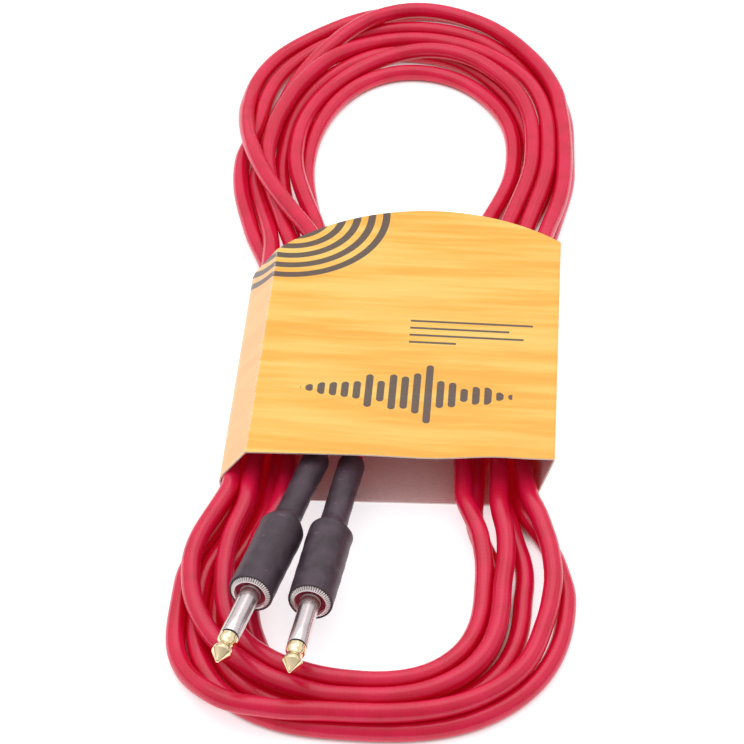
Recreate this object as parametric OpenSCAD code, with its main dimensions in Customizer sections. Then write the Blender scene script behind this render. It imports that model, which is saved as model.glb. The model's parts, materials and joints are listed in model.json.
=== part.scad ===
// Instrument cable: five and a half metres of round jacketed cord wound into a long
// hank, drawn in at the waist by a folded card sleeve, with a straight 6.35 mm
// phone plug on each end. Millimetres, +Z up, origin under the middle of the
// hank, which lies along Y. Both plugs lie side by side and point towards -Y.

/* [Cable] */
// Outer diameter of the jacket
cable_d = 6.2; // [5.4:0.1:6.6]
// Diameter of the insulation round the centre conductor
core_d = 3.2; // [2.6:0.1:3.4]
// Diameter of the bare centre conductor
wire_d = 1.2; // [0.8:0.1:1.4]
// Diameter of the shield where it is twisted together
shield_d = 1.2; // [0.8:0.1:1.2]

/* [Hank] */
// Length of the hank over its two ends
hank_len = 385; // [365:1:410]
// Half width of the widest loop's centre line at the near end
near_half = 67; // [61:0.5:72]
// Half width of the widest loop's centre line inside the card sleeve
waist_half = 52; // [49:0.5:56]
// Half width of the widest loop's centre line at the far end
far_half = 62.2; // [58:0.2:70]
// Length of the rounded near end
near_round = 57; // [52:1:62]
// Length of the rounded far end
far_round = 74; // [66:1:82]
// Squareness of the near end, where 2 is an ellipse
near_square = 2.5; // [2:0.1:3]
// Squareness of the far end, where 2 is an ellipse
far_square = 2; // [2:0.1:2.6]
// Free space between neighbouring turns of one layer at the waist
turn_gap = 1.5; // [1.2:0.1:2]
// Free space between one layer and the next
layer_gap = 0.6; // [0.5:0.1:1.2]
// How far the turns fan out at the near end, against the waist
near_fan = 1.2; // [1:0.05:1.4]
// How far the turns fan out at the near tip, against the waist
near_tip_fan = 0.92; // [0.9:0.02:1.3]
// How far the turns fan out beside the far end, against the waist
far_fan = 0.94; // [0.9:0.02:1.3]
// How far the turns fan out at the far tip, against the waist
far_tip_fan = 1.7; // [1.2:0.1:2.1]
// Sideways shift of the turns inside the sleeve, towards -X
waist_shift = 1.5; // [0:0.5:3]
// How far the top layer leans towards +X inside the sleeve
waist_lean = 3; // [0:0.5:4]

/* [Plug contacts] */
// Diameter of the plug's shaft
shaft_d = 6.35; // [6.2:0.05:6.4]
// Length of the shaft from the front of the knurled ring to the end of the tip
shaft_len = 31; // [29:0.5:33]
// Length of the gold tip
tip_len = 11; // [10:0.2:12]
// Radius of the point at the end of the tip
tip_point_r = 0.7; // [0.4:0.1:1]
// Thickness of the ring that insulates the tip
tip_ring_t = 1.2; // [0.8:0.1:1.6]
// Diameter of the ring that insulates the tip
tip_ring_d = 6; // [5.8:0.1:6]
// Diameter of the groove that holds the plug in its jack
tip_neck_d = 4.8; // [4.4:0.1:5.2]
// Diameter of the rod that runs from the tip to its solder lug
rod_d = 2.4; // [2:0.1:2.6]
// Bore of the sleeve contact
contact_bore_d = 4; // [3.6:0.1:4.2]
// Diameter of the sleeve contact where it sits in the body
contact_seat_d = 5.6; // [5.2:0.1:5.8]
// Radial clearance between turned pieces that slide into one another
turned_gap = 0.05; // [0.03:0.01:0.08]

/* [Plug body] */
// Diameter of the knurled ring
ring_d = 13; // [12.6:0.1:13.2]
// Width of the knurled ring's face
ring_w = 1.1; // [0.9:0.1:1.4]
// Thickness of the knurled ring
ring_t = 2.6; // [2:0.2:3.2]
// Number of teeth on the knurled ring
ring_teeth = 48; // [36:4:60]
// Depth of each tooth
tooth_depth = 0.3; // [0.2:0.05:0.4]
// Diameter of the collar round the shaft's root
collar_d = 7.6; // [7.2:0.1:8.2]
// How far the red washer lies behind the ring's face
washer_recess = 0.8; // [0.4:0.1:1.2]
// Diameter of the flange behind the ring
flange_d = 12.6; // [12.2:0.1:12.6]
// Thickness of the flange
flange_t = 1.6; // [1.2:0.2:2.2]
// Diameter of the stub that the handle screws on to
stub_d = 10; // [9.6:0.1:10.2]
// Length of the stub
stub_len = 7.8; // [6.6:0.2:9]
// Thickness of the solder lugs
lug_t = 0.6; // [0.4:0.1:0.8]
// Thickness of the spacer between the two lugs
spacer_t = 1.4; // [1:0.2:1.8]

/* [Handle and boot] */
// Outer diameter of the handle shell
shell_d = 12.6; // [12.2:0.1:12.6]
// Wall of the handle shell
shell_wall = 1.2; // [1:0.05:1.25]
// Distance from the ring's face to the rear end of the handle shell
shell_end = 30; // [29:0.5:33]
// Wall of the insulating liner in the handle
liner_wall = 0.35; // [0.2:0.05:0.4]
// Wall of the boot over the handle
boot_wall = 0.85; // [0.7:0.05:1.1]
// How far the boot stands proud of the ring's face
boot_lip = 0.3; // [0:0.1:0.6]
// Length of the boot's shoulder behind the handle
shoulder_len = 8; // [6:0.5:10]
// Length of the boot's narrow tail
tail_len = 32; // [24:1:33]
// Wall of the boot over the cable
tail_wall = 0.95; // [0.7:0.05:1.05]

/* [Plug places] */
// Distance of both ring faces from the near end of the hank
plug_in = 41; // [36:1:46]
// Distance of the left plug's ring face from the hank's middle plane
plug_a_side = 35; // [34:0.5:38]
// Distance of the right plug's ring face from the hank's middle plane
plug_b_side = 16.4; // [15:0.2:18]
// How far the left plug points outwards, in degrees
plug_a_yaw = 12; // [10.5:0.5:13]
// How far the right plug points outwards, in degrees
plug_b_yaw = 6.2; // [5:0.2:7]
// How far both plugs point upwards, in degrees
plug_pitch = 6; // [4.5:0.5:7.5]
// Free space between the left plug's boot and the loops that it lies on
boot_gap = 1.8; // [1.4:0.1:3]
// How much lower the right plug lies than the left one
plug_b_drop = 2.4; // [1:0.2:3]

/* [Card sleeve] */
// Thickness of the card
card_t = 0.5; // [0.4:0.05:0.7]
// Length of the sleeve at its folds
sleeve_len = 106; // [96:1:110]
// Distance from the near end of the hank to the sleeve's front edge
sleeve_in = 104.5; // [102:0.5:108]
// How far the arched rear edge rises beyond the folds
arch_rise = 20; // [10:1:22]
// How much further back the front edge lies at its right end than at its left
front_skew = 4; // [0:0.5:6]
// How much further back the rear edge lies at its right end than at its left
rear_skew = 11; // [0:0.5:12]
// Free space between the sleeve's side walls and the outermost turns
side_gap = 1; // [0.8:0.1:1.6]
// Free space between the card's bottom panel and the cable on it
floor_gap = 0.4; // [0.3:0.1:0.8]
// Free space between the card's top panel and the uppermost cable
top_gap = 1.2; // [0.8:0.1:2]
// How far the top panel's left fold lies inside the widest turn
left_tuck = 8; // [5:0.5:8.5]
// How far the left wall bulges out beyond the widest turn
left_bulge = 2; // [1:0.5:4]
// How far the top panel's right fold lies outside the widest turn
right_lean = 6; // [4:0.5:8]
// Width of the glued overlap in the bottom panel
flap_w = 16; // [10:1:18]
// How far the sleeve can slip along the hank each way
sleeve_slip = 1.5; // [0.5:0.5:3]

/* [Hidden] */
$fn = 48;

// ---- Levels of the pile of cable ----
cable_r = cable_d / 2;
flat_cut = cable_d / 10;              // depth of the flat that the hank rests on
pitch = cable_d + turn_gap;           // step from one turn to the next
lift = cable_d + layer_gap;           // step from one layer to the next
ground_z = cable_r - flat_cut;        // centre of the bottom layer on the ground
waist_z = card_t + floor_gap + cable_r;      // centre of the bottom layer on the card
pile_top = ground_z + lift + cable_r;        // top of the two layers outside the card

// ---- The hank's loops ----
LOOP_RINGS = 24;                      // rings of the tube in one turn
TUBE_SIDES = 6;                       // sides of the hank's tube
BEND_RINGS = 7;                       // steps in the half turn at each end
START_RING = 4;                       // ring at which the first turn starts
END_RING = 11;                        // ring at which the last turn ends
WHOLE_TURNS = 6;
near_y = -hank_len / 2;
far_y = hank_len / 2;
near_bend_y = near_y + near_round + cable_r; // where the near bend starts
straight_from = near_y + sleeve_in - front_skew / 2 - sleeve_slip;
straight_to = near_y + sleeve_in + sleeve_len + rear_skew / 2 + sleeve_slip;
t_start = START_RING / LOOP_RINGS;
t_end = WHOLE_TURNS + END_RING / LOOP_RINGS;
t_climb = 3 + 12.5 / LOOP_RINGS;      // the climb lies in the right run at the waist

function ease(u) = u <= 0 ? 0 : u >= 1 ? 1 : (1 - cos(180 * u)) / 2;
function mix(a, b, u) = a + (b - a) * u;
function curve_pow(v, n) = sign(v) * pow(abs(v), 2 / n);

// Inward offset of the cord after t turns: it winds in on the bottom layer and
// out again on the top one, at a steady rate.
function inset(t) = pitch * (t < t_climb ? t - t_start : 2 * t_climb - t_start - t);

first_near = inset((15 + BEND_RINGS / 2) / LOOP_RINGS); // inset at the first near tip
first_far = inset((3 + BEND_RINGS / 2) / LOOP_RINGS);   // inset at the first far tip

// The far bend of a turn starts further back the further in the turn lies.
function far_bend_y(s) = far_y - cable_r - far_round - s;
function far_tip_y(s) = far_y - cable_r - far_tip_fan * (s - first_far);
function near_tip_y(s) = near_y + cable_r + near_tip_fan * (s - first_near);
flare_to = far_bend_y(inset(t_climb)); // where the sleeve no longer draws a run in
function near_width(s) = near_half - near_fan * s;
function far_width(s) = far_half - far_fan * s;
function waist_width(s) = waist_half - s;

// How tightly the sleeve draws the run in at y: 1 inside it, 0 at the bends.
function draw_in(y) = y < straight_from
    ? ease((y - near_bend_y) / (straight_from - near_bend_y))
    : ease((flare_to - y) / (flare_to - straight_to));
function run_width(y, s) =
    mix(y < straight_from ? near_width(s) : far_width(s), waist_width(s), draw_in(y));

// Height of ring positions along a run, counted from its near end: the near
// flare takes two steps, the straight waist one and the far flare two.
function run_y(k, s) =
    k <= 2 ? mix(near_bend_y, straight_from, k / 2)
    : k <= 3 ? mix(straight_from, straight_to, k - 2)
    : mix(straight_to, far_bend_y(s), (k - 3) / 2);

// Plan position q rings into a turn. The turn starts on the left run, at the
// near end of the waist, and goes clockwise seen from above.
function plan_at(q, s) =
    q < 3 ? let (y = run_y(q + 2, s))
        [-run_width(y, s), y]
    : q <= 3 + BEND_RINGS ? let (a = 180 * (q - 3) / BEND_RINGS)
        [-far_width(s) * curve_pow(cos(a), far_square),
         mix(far_bend_y(s), far_tip_y(s), curve_pow(sin(a), far_square))]
    : q < 15 ? let (y = run_y(15 - q, s))
        [run_width(y, s), y]
    : q <= 15 + BEND_RINGS ? let (a = 180 * (q - 15) / BEND_RINGS)
        [near_width(s) * curve_pow(cos(a), near_square),
         mix(near_bend_y, near_tip_y(s), curve_pow(sin(a), near_square))]
    : plan_at(q - LOOP_RINGS, s);

function layer_at(t) = ease((t - t_climb) * LOOP_RINGS + 0.5);
function hank_point(t) =
    let (q = (t - floor(t)) * LOOP_RINGS, p = plan_at(q, inset(t)),
         layer = layer_at(t), in = draw_in(p[1]))
    [p[0] + (waist_lean * layer - waist_shift) * in, p[1],
     mix(ground_z, waist_z, in) + lift * layer];

hank_rings = round((t_end - t_start) * LOOP_RINGS);
hank_path = [for (i = [0:hank_rings]) hank_point(t_start + i / LOOP_RINGS)];

// ---- Tubes swept along a path ----
function unit(v) = v / norm(v);
function direction_at(path, i) = let (n = len(path) - 1)
    unit(i == 0 ? path[1] - path[0] : i == n ? path[n] - path[n - 1]
        : unit(path[i + 1] - path[i]) + unit(path[i] - path[i - 1]));

// A ring round path[i], square to the path and stretched where the path turns,
// so that every stretch between two rings keeps the tube's full width.
function ring_at(path, i, r, sides, turn, floor_z) =
    let (d = direction_at(path, i), side = unit(cross(d, [0, 0, 1])),
         up = cross(side, d), n = len(path) - 1,
         bend = i == 0 || i == n ? 1 : d * unit(path[i + 1] - path[i]))
    [for (k = [0:sides - 1]) let (a = 360 * k / sides + turn,
        p = path[i] + side * r * cos(a) / bend + up * r * sin(a))
        [p[0], p[1], max(p[2], floor_z)]];

module tube(path, r, sides, turn, floor_z) {
    rings = len(path);
    points = [for (i = [0:rings - 1]) each ring_at(path, i, r, sides, turn, floor_z)];
    walls = [for (i = [0:rings - 2], k = [0:sides - 1])
        let (a = i * sides + k, b = i * sides + (k + 1) % sides)
        each [[a, a + sides, b + sides], [a, b + sides, b]]];
    start_cap = [for (k = [1:sides - 2]) [0, k, k + 1]];
    last = (rings - 1) * sides;
    end_cap = [for (k = [1:sides - 2]) [last, last + k + 1, last + k]];
    polyhedron(points, concat(walls, start_cap, end_cap));
}

function path_len(p) = len(p) < 2 ? 0
    : let (steps = [for (i = [1:len(p) - 1]) norm(p[i] - p[i - 1])])
    steps * [for (s = steps) 1];

// ---- Where the two plugs lie ----
shell_r = shell_d / 2;
boot_r = ring_d / 2 + turned_gap + boot_wall;
boot_len = shell_end + shoulder_len + tail_len;
plug_z = pile_top + boot_gap + boot_r;
plug_places = [
    [-plug_a_side, near_y + plug_in, plug_z],
    [-plug_b_side, near_y + plug_in, plug_z - plug_b_drop]
];
plug_yaws = [plug_a_yaw, plug_b_yaw];
A = 0;
B = 1;

// Direction in which a plug points, and the point h ahead of its ring's face.
function plug_axis(n) = [-sin(plug_yaws[n]) * cos(plug_pitch),
    -cos(plug_yaws[n]) * cos(plug_pitch), sin(plug_pitch)];
function plug_point(n, h) = plug_places[n] + plug_axis(n) * h;

// Puts a plug's piece in place: its own +Z points out of the tip, +Y upwards.
module at_plug(n) {
    translate(plug_places[n]) rotate([90 - plug_pitch, 0, -plug_yaws[n]]) children();
}

// ---- Heights along a plug, measured forwards from the ring's face ----
tip_z = shaft_len - tip_len;          // back of the gold tip
contact_z = tip_z - tip_ring_t;       // front end of the sleeve contact
collar_z = 1;                         // front end of the collar round the shaft
flange_z = -ring_t;                   // front of the flange
stub_z = flange_z - flange_t;         // back of the flange
stub_end = stub_z - stub_len;         // rear end of the stub
ground_lug_z = stub_end - lug_t;      // back of the ground lug
spacer_z = ground_lug_z - spacer_t;   // back of the spacer
tip_lug_z = spacer_z - lug_t;         // back of the tip lug
rod_head_t = 0.6;
rod_head_d = rod_d + 1.2;
jacket_end = -shell_end + 9;          // where the cable's jacket is cut back to
core_end = jacket_end + 1.2;          // where the core's insulation is cut back to
wire_bend = core_end + wire_d / 2;    // where the core wire starts to rise at 45 degrees
clamp_front = jacket_end - 1;
clamp_rear = clamp_front - 4.5;
clamp_slot = 70;                      // angle of the clamp's open slot
strip_angle = 70;                     // angle that the ground lug's strip covers
shell_bore_r = shell_r - shell_wall;
liner_r = shell_bore_r - turned_gap;
gutter_r = cable_r + 0.1;             // inside of the ground lug's strip

// ---- Routes of the cable's two free ends, chosen by hand ----
JACKET_SIDES = 10;
LEAD_RUN = 8;                         // straight run at each end of a lead
// From the left plug back through the sleeve, over the left-hand turns behind
// it, and down outside them to where the hank starts.
lead_a_route = [
    [-17, -62, 13.5], [-16.5, -46, 15], [-18, -30, 16.5], [-20, -14, 17.4],
    [-23, 2, 17.5], [-27, 17, 17.5], [-33, 32, 17.5], [-41, 45, 17.5],
    [-49, 57, 17.5], [-56, 69, 17.4], [-61.5, 82, 16.4], [-64.5, 97, 12.5],
    [-65, 112, 8]
];
// From the right plug back through the sleeve, over the right-hand turns inside
// it, to where the hank ends on the top layer.
lead_b_route = [
    [-6, -62, 11.5], [-1, -49, 13.5], [7, -37, 16], [17, -25, 17.4],
    [28, -13, 17.5], [37, 0, 17.5], [44, 15, 17], [49, 31, 15],
    [51.5, 46, 12.6]
];
hank_start_dir = unit(hank_path[1] - hank_path[0]);
hank_end_dir = unit(hank_path[hank_rings] - hank_path[hank_rings - 1]);

function lead_from_plug(n) =
    [for (h = [jacket_end, -shell_end - shoulder_len, -boot_len - LEAD_RUN])
        plug_point(n, h)];
lead_a_path = concat(lead_from_plug(A), lead_a_route,
    [hank_path[0] - hank_start_dir * LEAD_RUN, hank_path[0]]);
lead_b_path = concat(lead_from_plug(B), lead_b_route,
    [hank_path[hank_rings] + hank_end_dir * LEAD_RUN, hank_path[hank_rings]]);

// ---- The wound cable ----
// Least distance between two turns of the hank, taken between points along the
// centre line that lie at least half a turn apart, less the cable's diameter.
FINE = 4;
function least_gap() =
    let (n = hank_rings * FINE, half = LOOP_RINGS * FINE / 2,
         pts = [for (i = [0:n]) hank_point(t_start + i / (LOOP_RINGS * FINE))])
    min([for (i = [0:n - half]) min([for (j = [i + half:n]) norm(pts[i] - pts[j])])])
    - cable_d;

module cable_hank() {
    echo(least_gap_of_the_hank_to_itself = least_gap());
    echo(cable_length = path_len(hank_path) + path_len(lead_a_path)
        + path_len(lead_b_path));
    color("crimson") tube(hank_path, cable_r, TUBE_SIDES, 0, 0);
}

module cable_lead(path) {
    color("crimson") tube(path, cable_r, JACKET_SIDES, 0, 0);
}

// ---- Card sleeve ----
sleeve_h = waist_z + 2 * lift + cable_r + top_gap + card_t;
front_y = near_y + sleeve_in;
rear_y = front_y + sleeve_len;
left_turn = -waist_width(inset(1)) - waist_shift;
right_turn = waist_width(inset(12 / LOOP_RINGS)) - waist_shift;
left_x = left_turn - cable_r - side_gap;
right_x = right_turn + cable_r + side_gap;
bulge_z = 0.4 * sleeve_h;
corner_r = cable_r + floor_gap + card_t;     // round the outermost turn on the right
corner_cut = corner_r * tan(22.5);
// Corners of the sleeve's section, seen from the near end, outer face.
card_outline = [
    [left_x + side_gap, 0], [right_turn + corner_cut, 0],
    [right_turn + corner_r, corner_r - corner_cut],
    [right_x + right_lean, sleeve_h], [left_x + left_tuck, sleeve_h],
    [left_x - left_bulge, bulge_z]
];
fold_l = card_outline[4][0];
fold_r = card_outline[3][0];
fold_half = (fold_r - fold_l) / 2;
fold_mid = (fold_r + fold_l) / 2;

// The same outline moved inwards by t, corner by corner.
function inner_corner(pts, i, t) =
    let (n = len(pts), u = unit(pts[i] - pts[(i + n - 1) % n]),
         v = unit(pts[(i + 1) % n] - pts[i]),
         reach = t / (1 + u * v))
    pts[i] + [-u[1] - v[1], u[0] + v[0]] * reach;
function inner_outline(pts, t) = [for (i = [0:len(pts) - 1]) inner_corner(pts, i, t)];

module along_y(from, length) {
    translate([0, from + length, 0]) rotate([90, 0, 0])
        linear_extrude(length) children();
}

module card_band() {
    difference() {
        polygon(card_outline);
        polygon(inner_outline(card_outline, card_t));
    }
    translate([-flap_w / 2, card_t / 2]) square([flap_w, card_t]);
}

// Plan view of the band, whose two cut edges do not run quite square.
module band_plan() {
    reach = 1.5 * fold_half;
    f = front_skew / (2 * fold_half) * reach;
    b = rear_skew / (2 * fold_half) * reach;
    translate([fold_mid, 0]) polygon([[-reach, front_y - f], [reach, front_y + f],
        [reach, rear_y + b], [-reach, rear_y - b]]);
}

// The top panel runs on past the folds in one shallow arch.
module arch_plan() {
    half = norm([fold_half, rear_skew / 2]);
    arch_r = (half * half + arch_rise * arch_rise) / (2 * arch_rise);
    translate([fold_mid, rear_y]) rotate(atan2(rear_skew / 2, fold_half)) intersection() {
        translate([-half, -1]) square([2 * half, arch_rise + 2]);
        translate([0, arch_rise - arch_r]) circle(arch_r, $fn = 96);
    }
}

module card_sleeve() {
    color([0.99, 0.80, 0.41]) intersection() {
        along_y(front_y - 10, sleeve_len + arch_rise + 20) card_band();
        union() {
            translate([0, 0, -1]) linear_extrude(sleeve_h + 1 - card_t) band_plan();
            translate([0, 0, sleeve_h - card_t]) linear_extrude(2 * card_t) union() {
                band_plan();
                arch_plan();
            }
        }
    }
}

// ---- Plug pieces ----
// A turned piece: an outline of [radius, height] points spun round the plug's axis.
module turned(outline) {
    rotate_extrude() polygon(outline);
}

module pipe(r_out, r_in, from, to) {
    turned([[r_in, from], [r_out, from], [r_out, to], [r_in, to]]);
}

// Gold tip: rim, groove, ball and rounded point, with the rod that carries it
// back to the solder lug and the rivet head there.
module tip(n) {
    r = shaft_d / 2 - turned_gap;
    color([0.90, 0.80, 0.52]) at_plug(n) turned(concat(
        [[0, tip_lug_z - rod_head_t], [rod_head_d / 2, tip_lug_z - rod_head_t],
         [rod_head_d / 2, tip_lug_z], [rod_d / 2, tip_lug_z], [rod_d / 2, tip_z],
         [r, tip_z], [r, tip_z + 0.10 * tip_len]],
        [for (a = [0:30:180]) [mix(r, tip_neck_d / 2, (1 - cos(2 * a)) / 2),
            tip_z + tip_len * mix(0.14, 0.58, a / 180)]],
        [[r, tip_z + 0.64 * tip_len]],
        [for (a = [20:14:90])
            [tip_point_r * cos(a), shaft_len - tip_point_r * (1 - sin(a))]]));
}

module tip_insulator(n) {
    in_r = rod_d / 2 + turned_gap;
    tube_r = contact_bore_d / 2 - turned_gap;
    color([0.08, 0.08, 0.09]) at_plug(n) turned([
        [in_r, ground_lug_z], [tube_r, ground_lug_z], [tube_r, contact_z],
        [tip_ring_d / 2, contact_z], [tip_ring_d / 2, tip_z], [in_r, tip_z]]);
}

// Tube that is the plug's shaft, with a thinner part that sits in the body.
module sleeve_contact(n) {
    color([0.80, 0.79, 0.78]) at_plug(n) turned([
        [contact_bore_d / 2, stub_end], [contact_seat_d / 2, stub_end],
        [contact_seat_d / 2, collar_z], [shaft_d / 2, collar_z],
        [shaft_d / 2, contact_z], [contact_bore_d / 2, contact_z]]);
}

// Collar, flange and stub in one piece round the sleeve contact.
module plug_body(n) {
    in_r = contact_seat_d / 2 + turned_gap;
    edge = 0.4;
    color([0.78, 0.77, 0.76]) at_plug(n) turned([
        [in_r, stub_end], [stub_d / 2 - edge, stub_end], [stub_d / 2, stub_end + edge],
        [stub_d / 2, stub_z], [flange_d / 2, stub_z], [flange_d / 2, flange_z],
        [collar_d / 2, flange_z], [collar_d / 2, collar_z - 0.7],
        [shaft_d / 2 + 0.1, collar_z], [in_r, collar_z]]);
}

module knurled_ring(n) {
    r = ring_d / 2;
    color([0.86, 0.85, 0.84]) at_plug(n) translate([0, 0, flange_z])
        linear_extrude(ring_t) difference() {
            polygon([for (k = [0:2 * ring_teeth - 1])
                let (a = 180 * k / ring_teeth, rr = k % 2 == 0 ? r : r - tooth_depth)
                [rr * cos(a), rr * sin(a)]]);
            circle(r - ring_w);
        }
}

module red_washer(n) {
    color([0.48, 0.10, 0.18]) at_plug(n)
        pipe(ring_d / 2 - ring_w - turned_gap, collar_d / 2 + turned_gap,
            flange_z, -washer_recess);
}

// Sector of a pipe; middle is the direction of its middle, 90 is the plug's top.
module sector(r_in, r_out, angle, middle, from, to) {
    rotate([0, 0, middle - angle / 2]) translate([0, 0, from])
        rotate_extrude(angle = angle) translate([r_in, 0])
            square([r_out - r_in, to - from]);
}

// Ring under the stub, with a strip along the underside to the clamp round the
// jacket: a flanged tube with a long window and the clamp's slot cut in its top.
module ground_lug(n) {
    r_out = gutter_r + lug_t;
    bore_r = contact_bore_d / 2 + turned_gap;
    color([0.72, 0.70, 0.66]) at_plug(n) difference() {
        turned([[bore_r, ground_lug_z], [gutter_r, ground_lug_z], [gutter_r, clamp_rear],
            [r_out, clamp_rear], [r_out, stub_end], [bore_r, stub_end]]);
        sector(0, r_out + 1, 360 - strip_angle, 90, clamp_front, ground_lug_z);
        sector(0, r_out + 1, clamp_slot, 90, clamp_rear - 1, clamp_front);
    }
}

module lug_spacer(n) {
    color([0.42, 0.24, 0.12]) at_plug(n)
        pipe(gutter_r - 0.2, rod_d / 2 + turned_gap, spacer_z, ground_lug_z);
}

tongue_y = rod_head_d / 2 + 0.1;      // underside of the tip lug's tongue
tongue_end = wire_bend + 0.6;

module tip_lug(n) {
    color([0.72, 0.70, 0.66]) at_plug(n) {
        pipe(tongue_y + lug_t, rod_d / 2 + turned_gap, tip_lug_z, spacer_z);
        translate([-1.2, tongue_y, tongue_end])
            cube([2.4, lug_t - 0.05, spacer_z - 0.2 - tongue_end]);
    }
}

// Tube that screws over the stub, closed at the rear but for the cable's hole.
module handle_shell(n) {
    hole_r = cable_r + 0.4;
    edge = 1;
    color([0.74, 0.73, 0.72]) at_plug(n) turned([
        [shell_bore_r, stub_z], [shell_bore_r, -shell_end + shell_wall],
        [hole_r, -shell_end + shell_wall], [hole_r, -shell_end],
        [shell_r - edge, -shell_end], [shell_r, -shell_end + edge],
        [shell_r, stub_z]]);
}

module liner(n) {
    color([0.90, 0.88, 0.82]) at_plug(n)
        pipe(liner_r, liner_r - liner_wall, -shell_end + shell_wall + 0.2,
            stub_end - 0.4);
}

// Shrunk sleeve over the handle and the cable behind it: a lip round the ring,
// a straight wide part, a rounded shoulder and a narrow tail.
module boot(n) {
    tail_r = cable_r + turned_gap;
    rear_r = shell_r + turned_gap + boot_wall;
    slope_end = -shell_end - shoulder_len;
    color([0.30, 0.28, 0.31]) at_plug(n) turned(concat(
        [[ring_d / 2 + turned_gap, boot_lip], [ring_d / 2 + turned_gap, flange_z],
         [shell_r + turned_gap, flange_z - 0.4], [shell_r + turned_gap, -shell_end]],
        [[tail_r, slope_end + 1], [tail_r, -boot_len], [tail_r + tail_wall, -boot_len]],
        [for (k = [0:8]) [mix(tail_r + tail_wall, rear_r, ease(k / 8)),
            mix(slope_end, -shell_end + 0.5, k / 8)]],
        [[boot_r, -shell_end + 6], [boot_r, boot_lip]]));
}

module core_insulation(n) {
    color([0.93, 0.92, 0.88]) at_plug(n)
        pipe(core_d / 2, wire_d / 2 + turned_gap, jacket_end, core_end);
}

wire_y = tongue_y - wire_d / 2 - turned_gap;
wire_knee = wire_bend + wire_y;

// Bare centre conductor: out of its insulation, up and along under the tongue.
module core_wire(n) {
    r = wire_d / 2;
    knee_r = r + 0.04;
    front = tip_lug_z - rod_head_t - 0.4;
    color([0.80, 0.48, 0.30]) at_plug(n) union() {
        translate([0, 0, jacket_end]) cylinder(h = wire_bend - jacket_end, r = r);
        translate([0, 0, wire_bend]) sphere(knee_r);
        translate([0, 0, wire_bend]) rotate([-45, 0, 0])
            cylinder(h = wire_y * sqrt(2), r = r);
        translate([0, wire_y, wire_knee]) sphere(knee_r);
        if (front > wire_knee)
            translate([0, wire_y, wire_knee]) cylinder(h = front - wire_knee, r = r);
    }
}

shield_y = -(gutter_r - shield_d / 2 - turned_gap);
shield_front = tip_lug_z - rod_head_t - 0.7;

module shield_tail(n) {
    color([0.72, 0.45, 0.30]) at_plug(n) translate([0, shield_y, jacket_end])
        cylinder(h = shield_front - jacket_end, d = shield_d);
}

// Two beads of solder: on the tip lug's tongue and on the ground lug's strip.
module solder(n) {
    bead_r = 1.1;
    tip_bead_z = (wire_knee + tip_lug_z) / 2 - 0.4;
    color([0.75, 0.75, 0.76]) at_plug(n) {
        difference() {
            translate([0, tongue_y + lug_t, tip_bead_z]) sphere(bead_r);
            translate([-bead_r * 2, -bead_r, tip_bead_z - bead_r * 2])
                cube([bead_r * 4, tongue_y + lug_t + bead_r, bead_r * 4]);
        }
        difference() {
            translate([0, shield_y, shield_front - bead_r / 2]) sphere(bead_r);
            translate([0, shield_y, shield_front - 3 * bead_r])
                cylinder(h = 3 * bead_r, r = shield_d / 2 + 0.01);
            sector(gutter_r - 0.01, gutter_r + lug_t + bead_r, 120, -90,
                shield_front - 3 * bead_r, shield_front + 3 * bead_r);
        }
    }
}

cable_hank();
cable_lead(lead_a_path);  // cable_lead_a
cable_lead(lead_b_path);  // cable_lead_b
card_sleeve();

tip(A);  // plug_a_tip
tip_insulator(A);  // plug_a_tip_insulator
sleeve_contact(A);  // plug_a_sleeve_contact
plug_body(A);  // plug_a_body
knurled_ring(A);  // plug_a_knurled_ring
red_washer(A);  // plug_a_red_washer
ground_lug(A);  // plug_a_ground_lug
lug_spacer(A);  // plug_a_lug_spacer
tip_lug(A);  // plug_a_tip_lug
handle_shell(A);  // plug_a_handle_shell
liner(A);  // plug_a_liner
boot(A);  // plug_a_boot
core_insulation(A);  // plug_a_core_insulation
core_wire(A);  // plug_a_core_wire
shield_tail(A);  // plug_a_shield_tail
solder(A);  // plug_a_solder

tip(B);  // plug_b_tip
tip_insulator(B);  // plug_b_tip_insulator
sleeve_contact(B);  // plug_b_sleeve_contact
plug_body(B);  // plug_b_body
knurled_ring(B);  // plug_b_knurled_ring
red_washer(B);  // plug_b_red_washer
ground_lug(B);  // plug_b_ground_lug
lug_spacer(B);  // plug_b_lug_spacer
tip_lug(B);  // plug_b_tip_lug
handle_shell(B);  // plug_b_handle_shell
liner(B);  // plug_b_liner
boot(B);  // plug_b_boot
core_insulation(B);  // plug_b_core_insulation
core_wire(B);  // plug_b_core_wire
shield_tail(B);  // plug_b_shield_tail
solder(B);  // plug_b_solder
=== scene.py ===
"""Dressed scene of an instrument cable: a wound hank of red cord in a folded card
sleeve, with a phone plug in a soft boot on each end. Metres, +Z up."""
from __future__ import annotations

import json
import logging
import math
from dataclasses import dataclass, field
from enum import Enum
from typing import Any, Callable, Sequence

import bpy
import numpy as np
from mathutils import Matrix, Vector

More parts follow.
